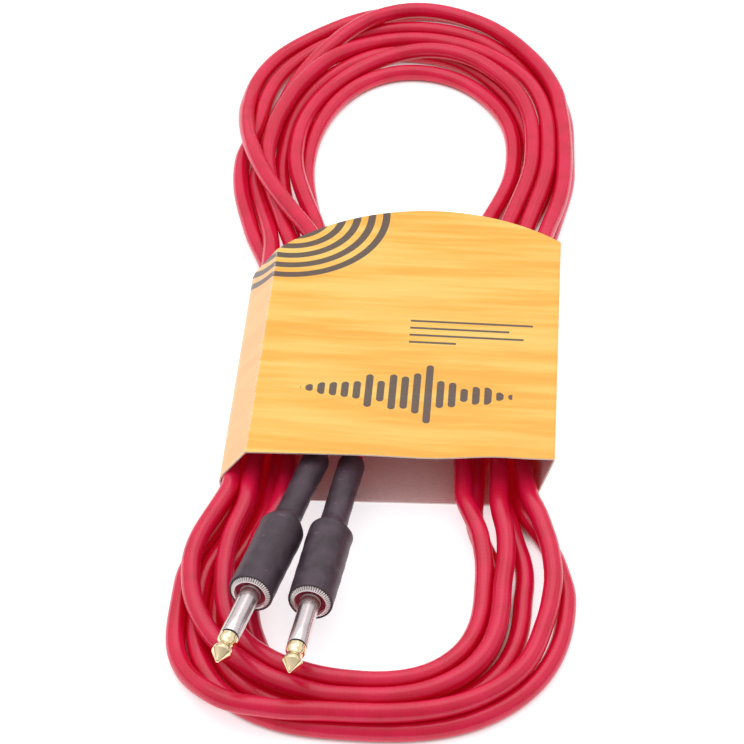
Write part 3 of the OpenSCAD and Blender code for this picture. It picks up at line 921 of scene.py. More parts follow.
@dataclass
class Hank:
    """Centre line of the wound cord, as a formula of the number of turns.

    A turn has 24 stops. The far and the near half turn each lie between two of
    them, and the runs in between.
    """

    cord: float = 6.2 * MM
    length: float = 385 * MM
    near_half: float = 67 * MM
    waist_half: float = 52 * MM
    far_half: float = 62.2 * MM
    near_round: float = 57 * MM
    far_round: float = 74 * MM
    near_square: float = 2.5
    far_square: float = 2.0
    turn_gap: float = 1.5 * MM
    layer_gap: float = 0.6 * MM
    near_fan: float = 1.2
    near_tip_fan: float = 0.92
    far_fan: float = 0.94
    far_tip_fan: float = 1.7
    waist_shift: float = 1.5 * MM
    waist_lean: float = 3 * MM
    sleeve_in: float = 104.5 * MM
    sleeve_length: float = 106 * MM
    slip_front: float = 3.5 * MM
    slip_rear: float = 7 * MM
    card: float = 0.5 * MM
    above_card: float = 0.4 * MM
    start: float = 4 / STOPS
    climb: float = 3 + 12.5 / STOPS
    end: float = 6 + 11 / STOPS
    far_stops: tuple[int, int] = (3, 10)
    near_stops: tuple[int, int] = (15, 22)

    # Moves away from the even winding, turn by turn: the stop, how far outwards and,
    # where the cord also moves up, how far up, in millimetres.
    strays: tuple[tuple[tuple[float, ...], ...], ...] = (
        ((4, 5), (5, 0), (6, 0), (6.8, 0.6), (7.6, -0.4), (8.5, -2.4), (9.3, -2.8), (10, -1.5),
         (11, 0.5), (11.6, 3), (12, 1.5), (12.6, 0), (12.95, 0.9), (13, 2), (13.2, 3.4),
         (13.4, 4.5), (13.7, 5), (14, 4.3), (14.5, 1.7), (15, 0.6), (17, -2.5), (18.5, -2.4),
         (19.2, -1.8), (20, -2.2), (21, -5), (22, -7.3), (23, -6.6), (24, -6)),
        ((0.5, -6), (0.9, -1), (1.1, 2.5), (1.5, 7), (2.1, 8.6), (2.5, 8), (3, 4), (3.4, 5),
         (4, 6.2), (4.8, 4.8), (5.6, 2.6), (6.4, 1.8), (7.4, 2), (8.4, 1), (9.4, 0), (12.5, 0),
         (13.3, 4), (14, 1.6), (15, -4), (17, -3.4), (18.5, -1.6), (19.3, -1), (20, -0.8),
         (21, -1.6), (22, -3.4), (23, -4.7), (24, -4.2)),
        ((0.5, -4), (1, 0), (2.2, 0.8), (3.2, 0.4), (4, 0), (5.5, -0.6), (6.7, -3.4), (8, -3.6),
         (9, -2), (10.3, 0), (12.5, 0), (15, -1.8), (17, -1.2), (18.5, 0), (19.3, -1), (20, -3),
         (21, -5), (22, -4, 2), (23, -0.8, 5), (24, -0.6, 6)),
        ((0.5, -0.4, 5), (1, 0), (2, -1), (4, -1), (5, -1), (6.5, -1.7), (8, 0), (9, 1.5),
         (10, 0.5), (11, -0.6), (12, 0), (12.8, 0.3), (13, 0.9), (13.4, 2.6), (13.8, 3.4),
         (14.2, 2.4), (15, 0), (16.5, -0.6), (18.5, 1.8), (19.3, 2.6), (20, 4.4), (21, 5.5),
         (22, 6.4), (23, 11), (24, 14.6)),
        ((0.1, 14), (0.5, 1), (1, 0), (2, 1.5), (3, 1.5), (4, 1.5), (6, 0), (8, 1), (9, 2.5),
         (10, 2.5), (11, 1), (12, 0), (13, 4.6), (13.6, 4.3), (15, -3.6), (17, -1.8), (18.5, 0.3),
         (19.3, -3), (20, -4), (21, 0.8), (22, 7.3), (23, 11.7), (23.5, 12.8), (24, 12.5)),
        ((0.1, 12), (0.5, 2), (1, 2.6), (1.5, 5), (2.5, 5.4), (3.5, 2), (4.5, 0), (12.2, 0),
         (12.8, 3.4), (12.95, 6.9), (13, 8.4), (13.2, 9.5), (13.5, 10), (14, 8.6), (14.5, 5.7),
         (15, 3.1), (15.5, 1), (16, 0.4), (17, -1.4), (18.5, -2.4), (19.3, 1.5), (20, 4.6, -2),
         (21, 3.6, -6.8), (22, 0.6, -6.8), (23, 2, -6.8), (24, 3.6, -6.8)),
        ((0.3, 3.4, -6), (0.65, 0.5), (1, 2.8), (1.5, 3.2), (2.1, 3.2), (2.6, 0.4), (3, -1),
         (3.6, -3.5), (4.5, -4.5), (5.2, -3.5), (6.5, 2.4), (7.4, 0.4), (8.5, -2.6), (10, -1.6),
         (11, 0.6)),
    )

    def inset(self, t: Array) -> Array:
        """Distance inwards after t turns: in on the bottom layer, out on the top."""
        turned = np.where(t < self.climb, t - self.start, 2 * self.climb - self.start - t)
        return (self.cord + self.turn_gap) * turned

    def centre_line(self, t: Array) -> Array:
        """Work out points of the winding.

        A turn is a run, a half turn of a squared ellipse, a second run and a
        half turn of another squared ellipse. The sleeve draws the runs in by an
        eased share. The inset grows evenly until the climb and falls after it.

        Args:
            t: numbers of turns.
        Returns:
            One point for each.
        """
        radius = self.cord / 2
        near_y, far_y = -self.length / 2, self.length / 2
        q = (t - np.floor(t)) * STOPS
        s = self.inset(t)
        (far_in, far_out), (near_in, near_out) = self.far_stops, self.near_stops
        first_near = self.inset(np.array((near_in + near_out) / 2 / STOPS))
        first_far = self.inset(np.array((far_in + far_out) / 2 / STOPS))
        near_bend = near_y + self.near_round + radius
        straight_from = near_y + self.sleeve_in - self.slip_front
        straight_to = near_y + self.sleeve_in + self.sleeve_length + self.slip_rear
        far_bend = far_y - radius - self.far_round - s
        far_tip = far_y - radius - self.far_tip_fan * (s - first_far)
        near_tip = near_y + radius + self.near_tip_fan * (s - first_near)
        flare_to = far_y - radius - self.far_round - self.inset(np.array(self.climb))
        near_width = self.near_half - self.near_fan * s
        far_width = self.far_half - self.far_fan * s
        # Along a run: 0 at the near bend, 2 to 3 in the sleeve, 5 at the far bend.
        k = np.where(q > near_out, q - near_out, near_in - q)
        k = np.clip(np.where(q < far_in, q + (STOPS - near_out), k), 0.0, 5.0)
        run_y = np.where(k <= 2, mixed(near_bend, straight_from, k / 2),
                         np.where(k <= 3, mixed(straight_from, straight_to, k - 2),
                                  mixed(straight_to, far_bend, (k - 3) / 2)))
        far_turn = np.pi * np.clip((q - far_in) / (far_out - far_in), 0.0, 1.0)
        near_turn = np.pi * np.clip((q - near_in) / (near_out - near_in), 0.0, 1.0)
        far_y_at = mixed(far_bend, far_tip, curve_power(np.sin(far_turn), self.far_square))
        near_y_at = mixed(near_bend, near_tip, curve_power(np.sin(near_turn), self.near_square))
        on_far = (q >= far_in) & (q <= far_out)
        on_near = (q >= near_in) & (q <= near_out)
        y = np.where(on_far, far_y_at, np.where(on_near, near_y_at, run_y))
        before = y < straight_from
        drawn = np.where(before, eased((y - near_bend) / (straight_from - near_bend)),
                         eased((flare_to - y) / (flare_to - straight_to)))
        width = mixed(np.where(before, near_width, far_width), self.waist_half - s, drawn)
        run_side = np.where((q > far_out) & (q < near_in), 1.0, -1.0)
        far_x = -far_width * curve_power(np.cos(far_turn), self.far_square)
        near_x = near_width * curve_power(np.cos(near_turn), self.near_square)
        x = np.where(on_far, far_x, np.where(on_near, near_x, run_side * width))
        layer = eased((t - self.climb) * STOPS + 0.5)
        x = x + (self.waist_lean * layer - self.waist_shift) * drawn
        rest = self.card + radius + self.above_card
        z = mixed(radius, rest, drawn) + (self.cord + self.layer_gap) * layer
        return np.stack([x, y, z], axis=1)

    def strayed(self, t: Array, points: Array) -> Array:
        """Move the points outwards and up by the strays.

        Between two strays the move is a cubic. Its slope at a stray is the
        harmonic mean of the slopes on both sides, and level where they differ in
        sign, so it never swings past the strays.

        Args:
            t: number of turns at each point.
            points: the even winding.
        Returns:
            The moved points.
        """
        table = np.array([(turn + stray[0] / STOPS, *stray[1:], 0.0)[:3]
                          for turn, strays in enumerate(self.strays) for stray in strays])
        stations, moves = table[:, 0], table[:, 1:] * MM
        steps = np.diff(moves, axis=0) / np.diff(stations)[:, None]
        product = steps[:-1] * steps[1:]
        slopes = np.zeros_like(moves)
        slopes[1:-1] = np.where(product > 0, 2 * product / (steps[:-1] + steps[1:] + 1e-12), 0.0)
        shift = hermite(moves, slopes, stations, t)
        outward = np.cross(np.gradient(points, axis=0), [0.0, 0.0, -1.0])
        outward /= np.linalg.norm(outward, axis=1, keepdims=True)
        moved = points + outward * shift[:, :1]
        moved[:, 2] = points[:, 2] + shift[:, 1]
        return moved


@dataclass
class Cable:
    """The whole cord from plug to plug: two leads and the hank between them."""

    hank: Hank = field(default_factory=Hank)
    step: float = 3.4 * MM
    sides: int = 20
    samples: int = 2400
    handover: int = 12
    in_plug: tuple[float, ...] = (-21 * MM, -38 * MM, -58 * MM, -78 * MM)
    lead_a: tuple[Triple, ...] = (
        (-17, -62, 13.5), (-16.5, -46, 15), (-18, -30, 16.5), (-20, -14, 17.4),
        (-23, 2, 17.5), (-27, 17, 17.5), (-32.5, 31, 17.5), (-40.5, 44, 17.5),
        (-48, 56, 17.5), (-54, 68, 17.4), (-59, 81, 16.4), (-62.6, 95, 13.5),
        (-64.6, 109, 9.5), (-65, 123, 5.5), (-63.4, 138, 3.6), (-58, 152, 3.1),
    )
    first_turn: float = 4.9 / STOPS
    lead_b: tuple[Triple, ...] = (
        (-6, -62, 11.5), (-1, -49, 13.5), (7, -37, 16), (17, -25, 17.4),
        (28, -13, 17.5), (37, 0, 17.5), (44.5, 15, 17), (50, 31, 15),
        (53.2, 46, 12.6),
    )

    def path(self, plugs: Sequence["PlugPlace"]) -> Array:
        """Join the leads and the hank into one centre line.

        Args:
            plugs: places of the left and the right plug.
        Returns:
            Points in equal steps from the left plug to the right one.
        """
        t = np.linspace(self.first_turn, self.hank.end, self.samples)
        wound = self.hank.strayed(t, self.hank.centre_line(t))
        reach = 2 * self.handover + 1
        leads = []
        for plug, lead, turns in zip(plugs, (self.lead_a, self.lead_b), (wound, wound[::-1])):
            start = np.array([plug.point(height) for height in self.in_plug])
            way = np.concatenate([start, np.array(lead) * MM, turns[:reach:self.handover]])
            leads.append(smooth_curve(way, self.step))
        whole = np.concatenate([leads[0], wound[reach:-reach], leads[1][::-1]])
        return resampled(whole, self.step)

    def build(self, plugs: Sequence["PlugPlace"], finish: Material,
              plug_pieces: list[str]) -> Piece:
        """Args:
            plugs: places of the left and the right plug.
            finish: the jacket's material.
            plug_pieces: names of the pieces on the cord's far end; not used.
        Returns:
            The cord's object.
        """
        path = Settling(self.hank.cord).settle(self.path(plugs))
        cord = tube_object("cable", path, self.hank.cord / 2, self.sides)
        cord.data.materials.append(finish)
        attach(cord, "cable")
        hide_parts("cable_hank", "cable_lead_a", "cable_lead_b")
        return cord


@dataclass
class Settling:
    """Lets the cord sink on to the floor and on to itself, inside the sleeve's walls."""

    cord: float
    rounds: int = 220
    late_from: float = 0.8
    search_every: int = 5
    search_reach: float = 1.25
    sink: float = 0.15 * MM
    pull: float = 0.25
    evenings: tuple[int, int] = (6, 2)
    pushes: int = 3
    spacing: float = 1.003
    level_share: float = 0.15
    crowding: float = 0.35
    held_ends: int = 22
    apart: int = 9
    card: float = 0.5 * MM
    on_card: Pair = (-0.098, 0.022)
    card_ramp: float = 0.01
    left_span: Pair = (-92.5 * MM, 15.0 * MM)
    right_span: Pair = (-88.5 * MM, 25.5 * MM)
    left_wall: Pair = (-47.5 * MM, -48.0 * MM)
    right_wall: Pair = (48.0 * MM, 50.0 * MM)
    mouth: float = 12 * MM
    upper_from: float = 4 * MM
    upper_ramp: float = 5 * MM

    def walls(self, points: Array) -> tuple[Array, Array]:
        """Furthest places to the left and right that the sleeve leaves the cord.

        Each wall stands further out for the upper layer than for the lower one.
        Beyond the sleeve's mouths both open along a parabola.

        Args:
            points: the centre line.
        Returns:
            The least and the greatest x at each point.
        """
        layer = eased((points[:, 2] - self.upper_from) / self.upper_ramp)
        places = []
        for span, wall, way in ((self.left_span, self.left_wall, -1.0),
                                (self.right_span, self.right_wall, 1.0)):
            beyond = np.maximum(span[0] - points[:, 1], points[:, 1] - span[1])
            opening = np.clip(beyond, 0.0, None) ** 2 / (2 * self.mouth)
            places.append(mixed(wall[0], wall[1], layer) + way * opening)
        return places[0], places[1]

    def touching(self, points: Array, reach: float) -> tuple[Array, Array]:
        """Find the pairs of points that are near but lie well apart along the cord.

        Args:
            points: the centre line.
            reach: distance up to which a pair counts.
        Returns:
            First and second point of each pair.
        """
        small = points.astype(np.float32)
        square = np.sum(small * small, axis=1)
        distance = square[:, None] + square[None, :] - 2.0 * small @ small.T
        i, j = np.nonzero(distance < np.float32(reach * reach))
        keep = j - i > self.apart
        return i[keep], j[keep]

    def settle(self, planned: Array) -> Array:
        """Work out where the cord comes to rest.

        In each round every point sinks a little and is drawn weakly to its
        planned place on the floor, the moves are evened out along the cord,
        and points that lie in each other are pushed apart.

        Args:
            planned: the centre line as it is laid.
        Returns:
            The settled centre line.
        """
        points = planned.copy()
        radius = self.cord / 2
        fixed = np.ones(len(points), bool)
        fixed[self.held_ends:-self.held_ends] = False
        in_sleeve = (eased((points[:, 1] - self.on_card[0]) / self.card_ramp)
                     * eased((self.on_card[1] - points[:, 1]) / self.card_ramp))
        floor = mixed(radius, radius + self.card, in_sleeve)
        i = j = np.zeros(0, int)
        for turn in range(self.rounds):
            if turn % self.search_every == 0:
                i, j = self.touching(points, self.cord * self.search_reach)
            late = turn > self.rounds * self.late_from
            if not late:
                points[:, 2] -= self.sink
                points[:, :2] += (planned[:, :2] - points[:, :2]) * self.pull
            moved = points - planned
            for _ in range(self.evenings[late]):
                moved[1:-1] += 0.5 * (0.5 * (moved[:-2] + moved[2:]) - moved[1:-1])
            points = planned + moved
            for _ in range(self.pushes):
                points += self.push(points, i, j)
                points[:, 2] = np.maximum(points[:, 2], floor)
                points[:, 0] = np.clip(points[:, 0], *self.walls(points))
            points[fixed] = planned[fixed]
        i, j = self.touching(points, self.cord * self.search_reach)
        least = float(np.min(np.linalg.norm(points[j] - points[i], axis=1)))
        LOG.info("settled: least distance between turns %.3f mm", least / MM)
        return points

    def push(self, points: Array, i: Array, j: Array) -> Array:
        """Work out the moves that part touching points, steep pairs mostly upwards.

        Args:
            points: the centre line.
            i: first point of each pair.
            j: second point of each pair.
        Returns:
            The move of each point, less where many pairs push it.
        """
        gap = points[j] - points[i]
        distance = np.linalg.norm(gap, axis=1)
        lack = np.clip(self.cord * self.spacing - distance, 0.0, None)
        steep = np.abs(gap[:, 2]) / np.maximum(distance, 1e-9)
        slide = mixed(1.0, self.level_share, eased((steep - 0.35) / 0.3))
        way = gap * np.stack([slide, slide, np.ones_like(slide)], axis=1)
        give = np.sum(way * gap, axis=1) / np.maximum(distance, 1e-9)
        push = way * (0.5 * lack / np.maximum(give, 1e-9))[:, None]
        shift = np.zeros_like(points)
        count = np.ones(len(points))
        for ends, move in ((i, -push), (j, push)):
            np.add.at(shift, ends, move)
            np.add.at(count, ends[lack > 0], self.crowding)
        return shift / count[:, None]


# ------------------------------------------------------------------ the plugs

@dataclass
class PlugPlace:
    """Where a plug's ring face lies and where the plug points."""

    side: str
    face: Vector
    axis: Vector

    @classmethod
    def from_mount(cls, side: str, mount: dict[str, Any]) -> "PlugPlace":
        """Work the place out from the plug's mount, which lies ahead of the ring's face."""
        axis = Vector(mount["axis"]).normalized()
        return cls(side, Vector(mount["pos_m"]) - axis * MOUNT_AHEAD, axis)

    def point(self, height: float) -> Triple:
        """Point on the axis, height metres ahead of the ring's face."""
        return tuple(self.face + self.axis * height)


@dataclass
class Plug:
    """The parts of one plug that show, finer than their solids."""

    place: PlugPlace
    shaft_r: float = 3.175 * MM
    shaft_length: float = 31 * MM
    tip_length: float = 11 * MM
    insulator: float = 0.7 * MM
    ring_r: float = RING_R
    ring_bore: float = 5.0 * MM
    toothed: float = 1.35 * MM
    bevel: float = 0.9 * MM
    ring_depth: float = 2.6 * MM
    tooth_depth: float = 0.34 * MM
    washer_recess: float = 1.5 * MM
    collar_r: float = 3.5 * MM
    cord_r: float = 3.1 * MM
    shell_r: float = 6.35 * MM
    shell_end: float = 30 * MM
    corner: float = 33 * MM
    tail_from: float = 38.6 * MM
    tail_wall: float = 1.35 * MM
    boot_wall: float = 0.85 * MM
    lip_wall: float = 0.66 * MM
    gap: float = 0.05 * MM
    boot_length: float = 70 * MM
    seed: float = 0.0

    def name(self, piece: str) -> str:
        """Name of a piece or node of this plug."""
        return f"plug_{self.place.side}_{piece}"

    def turned(self, piece: str, profile: Array, finish: Material, slot: str,
               sides: int = 64, sharp: float | None = 30.0, swell: Swell | None = None) -> Piece:
        """Turn a piece round the plug's axis and let it stand for its node.

        Args:
            piece: the node's name without the plug's.
            profile: rows of radius and height.
            finish: the piece's material.
            slot: the record's slot of that material; not used.
            sides: points round the axis.
            sharp: angle in degrees above which edges are creased.
            swell: what is added to the radius.
        Returns:
            The new piece.
        """
        made = lathe_object(self.name(f"fine_{piece}"), self.place, profile, sides, swell)
        if sharp is not None:
            crease(made, sharp)
        made.data.materials.append(finish)
        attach(made, "cable")
        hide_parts(self.name(piece))
        return made

    def tip_profile(self) -> Array:
        """Rim, groove, ball and point as radius and height, from the axis to the axis.

        The groove is a raised cosine between the rim and the ball, and the ball runs
        into the cone along a parabola.

        Returns:
            Rows of radius and height.
        """
        back, r = self.shaft_length - self.tip_length, self.shaft_r - self.gap
        length, rim, edge = self.tip_length, 0.2 * MM, 0.12 * MM
        waist_r, nose_r, bulge = 2.4 * MM, 0.75 * MM, 0.25 * MM
        groove = np.linspace(0.0, 1.0, 17)
        waist = r - (r - waist_r) * 0.5 * (1 - np.cos(2 * np.pi * groove))
        ball = np.linspace(0.0, 1.0, 7)
        nose = np.linspace(math.radians(24), math.radians(90), 8)
        profile = np.concatenate([
            np.array([[0.0, back - 0.5 * MM], [r - rim, back - 0.5 * MM], [r - rim, back],
                      [r - edge, back], [r, back + edge], [r, back + 0.09 * length]]),
            np.column_stack([waist, back + length * mixed(0.13, 0.57, groove)]),
            np.column_stack([r + 0 * ball, back + length * mixed(0.575, 0.62, ball)]),
            np.column_stack([r - bulge * ball**2, back + length * mixed(0.625, 0.67, ball)]),
            np.column_stack([nose_r * np.cos(nose),
                             self.shaft_length - nose_r * (1 - np.sin(nose))])])
        profile[-1, 0] = 0.0
        return profile

    def shaft_profile(self) -> Array:
        """Tube of the sleeve contact, with its front edge eased.

        Returns:
            Rows of radius and height.
        """
        front = self.shaft_length - self.tip_length - self.insulator
        r, bore, ease = self.shaft_r, 2.7 * MM, 0.12 * MM
        return np.array([[bore, -6 * MM], [r, -6 * MM], [r, 0.9 * MM], [r, 0.3 * front],
                         [r, 0.7 * front], [r, front - ease], [r - 0.3 * ease, front - 0.3 * ease],
                         [r - ease, front], [bore, front]])

    def collar_profile(self) -> Array:
        """Collar round the shaft's root, with the flange and the stub behind it.

        Returns:
            Rows of radius and height.
        """
        r, root = self.collar_r, self.shaft_r + 0.02 * MM
        return np.array([[root, -10 * MM], [5.0 * MM, -10 * MM], [5.0 * MM, -4.2 * MM],
                         [6.3 * MM, -4.2 * MM], [6.3 * MM, -self.ring_depth],
                         [r, -self.ring_depth], [r, -0.7 * MM], [r - 0.1 * MM, -0.5 * MM],
                         [root + 0.1 * MM, -0.3 * MM], [root, -0.35 * MM]])

    def washer_profile(self) -> Array:
        """Washer deep in the ring's bore, with a slightly dished face.

        Returns:
            Rows of radius and height.
        """
        low, inner, outer = -self.ring_depth, self.collar_r + self.gap, self.ring_bore - 0.02 * MM
        face = -self.washer_recess
        return np.array([[inner, low], [outer, low], [outer, face],
                         [outer - 0.2 * MM, face + 0.02 * MM], [inner + 0.3 * MM, face - 0.1 * MM],
                         [inner, face - 0.15 * MM]])

    def boot_swell(self, angle: Array, height: Array) -> Array:
        """Unevenness of the boot: slow waves round and along it, most at the shoulder.

        Args:
            angle: angle round the axis.
            height: height along it.
        Returns:
            What is added to the radius.
        """
        h = height / MM
        shoulder, spread = -35.0, 6.0
        near_shoulder = np.exp(-((h - shoulder) / spread) ** 2)
        slow = (0.10 * np.sin(angle * 2 + self.seed) * np.sin(h * 0.17 + self.seed)
                + 0.07 * np.sin(angle * 3 + h * 0.11) + 0.05 * np.sin(h * 0.9 + angle * 2))
        fold = 0.24 * np.sin(angle * 3 + 1.3 * self.seed + h * 0.35) * near_shoulder
        ends = eased((0.5 - h) / 4.0)
        return (slow + fold) * ends * MM

    def boot(self, finish: Material) -> None:
        """Make the soft boot: lip, straight wide part, cone and narrow tail.

        Args:
            finish: its material.
        """
        tail_r, tail_out = self.cord_r + self.gap, self.cord_r + self.tail_wall
        out, lip = self.ring_r + self.lip_wall, self.ring_r + self.gap
        rear = self.shell_r + self.boot_wall
        tail_h = np.linspace(-self.boot_length, -self.tail_from - 0.4 * MM, 22)
        slope = np.linspace(0.0, 1.0, 14)
        share = np.where(slope < 0.3, slope * slope / 0.6, slope - 0.15) / 0.85
        shoulder = mixed(tail_out, rear, share)
        shoulder_h = mixed(-self.tail_from, -self.corner, slope)
        wide_h = np.linspace(-self.corner + 0.6 * MM, -1.9 * MM, 22)
        wide = mixed(rear + 0.03 * MM, out, eased((wide_h / MM + 14) / 12))
        front = np.array([[out - 0.02 * MM, -1.2 * MM], [out - 0.12 * MM, -0.9 * MM],
                          [out - 0.3 * MM, -0.75 * MM], [out - 0.5 * MM, -0.78 * MM],
                          [lip, -0.95 * MM]])
        bore = self.shell_r + self.gap
        inside = np.array([[lip, -self.ring_depth], [bore, -3.2 * MM], [bore, -self.shell_end],
                           [tail_r, -self.tail_from + 2 * MM],
                           [tail_r, -self.boot_length + 0.02 * MM]])
        tail = np.column_stack([tail_out + 0 * tail_h, tail_h])
        tail[0] = [tail_out - 0.25 * MM, -self.boot_length]
        profile = np.concatenate([tail, np.column_stack([shoulder, shoulder_h]),
                                  np.column_stack([wide, wide_h]), front, inside])

        def swell(angle: Array, height: Array) -> Array:
            """Make the outside uneven and leave the inside rows.

            Args:
                angle: angle round the axis.
                height: height of each row.
            Returns:
                What is added to the radius.
            """
            rows = np.arange(height.shape[0])[:, None]
            outer = (rows < len(profile) - len(inside) - 3) | (rows >= len(profile))
            return self.boot_swell(angle, height) * outer

        self.turned("boot", profile, finish, "boot", 72, None, swell)

    def ring(self, finish: Material) -> None:
        """Make the toothed ring: grooves across its face and rim, and a smooth bore.

        The rim's radius and the outer part of the face fall by a groove whose
        depth follows half a cosine of teeth * angle.

        Args:
            finish: its material.
        """
        r, depth, bore = self.ring_r, self.ring_depth, self.ring_bore
        edge = r - self.toothed
        profile = np.array([
            [bore, -depth], [r, -depth], [r, -self.bevel - 0.2 * MM], [r, -self.bevel],
            [mixed(r, edge, 0.3), -0.66 * self.bevel], [mixed(r, edge, 0.7), -0.22 * self.bevel],
            [edge + 0.1 * MM, -0.05 * MM], [edge, 0.0], [edge - 0.06 * MM, 0.02 * MM],
            [bore + 0.04 * MM, -0.02 * MM], [bore, -0.1 * MM]])

        def swell(angle: Array, height: Array) -> Array:
            """Groove the rows of the rim.

            Args:
                angle: angle round the axis.
                height: height of each row.
            Returns:
                What is added to the radius.
            """
            groove = 0.5 - 0.5 * np.cos(TEETH * angle)
            rows = np.arange(height.shape[0])[:, None]
            on_rim = (rows >= 1) & (rows <= 3)
            return -0.8 * self.tooth_depth * groove * on_rim

        made = self.turned("knurled_ring", profile, finish, "bright_ring", TEETH * 8, None, swell)
        self.groove_face(made)
        crease(made, 40.0)

    def groove_face(self, ring: Piece) -> None:
        """Sink each vertex of the face by its groove's depth.

        Args:
            ring: the ring's object.
        """
        mesh = ring.data
        points = np.empty(len(mesh.vertices) * 3)
        mesh.vertices.foreach_get("co", points)
        points = points.reshape(-1, 3)
        axis, face = np.array(self.place.axis), np.array(self.place.face)
        side, up = square_to(axis)
        gap = points - face
        height = gap @ axis
        radius = np.hypot(gap @ side, gap @ up)
        angle = np.arctan2(gap @ up, gap @ side)
        groove = 0.5 - 0.5 * np.cos(TEETH * angle)
        on_face = (height > -self.bevel) & (radius > self.ring_r - self.toothed + 0.06 * MM)
        points -= axis * (self.tooth_depth * groove * on_face)[:, None]
        mesh.vertices.foreach_set("co", points.ravel())
        mesh.update()

    def shown(self) -> list[str]:
        """Names of the pieces of this plug that show."""
        fine = ("tip", "sleeve_contact", "body", "red_washer", "knurled_ring", "boot")
        return [*(self.name(f"fine_{piece}") for piece in fine), self.name("tip_insulator")]

    def build(self, finishes: dict[str, Material]) -> None:
        """Make the pieces that show.

        Args:
            finishes: materials by name.
        """
        self.turned("tip", self.tip_profile(), finishes["gold"], "gold", 64, 25.0)
        self.turned("sleeve_contact", self.shaft_profile(), finishes["shaft"], "nickel")
        self.turned("body", self.collar_profile(), finishes["collar"], "nickel")
        self.turned("red_washer", self.washer_profile(), finishes["red_washer"], "red_washer")
        self.ring(finishes["bright_ring"])
        self.boot(finishes["boot_" + self.place.side])
        LOG.info("plug %s: boot, ring, washer, collar, shaft and tip", self.place.side)


# ------------------------------------------------------------ the card sleeve

class CardFace(Enum):
    """The card's three looks, in the order of its material slots."""

    PRINT = "card_print"
    INSIDE = "card_inside"
    EDGE = "card_edge"

    @property
    def slot(self) -> int:
        """Number of the material slot."""
        return list(CardFace).index(self)


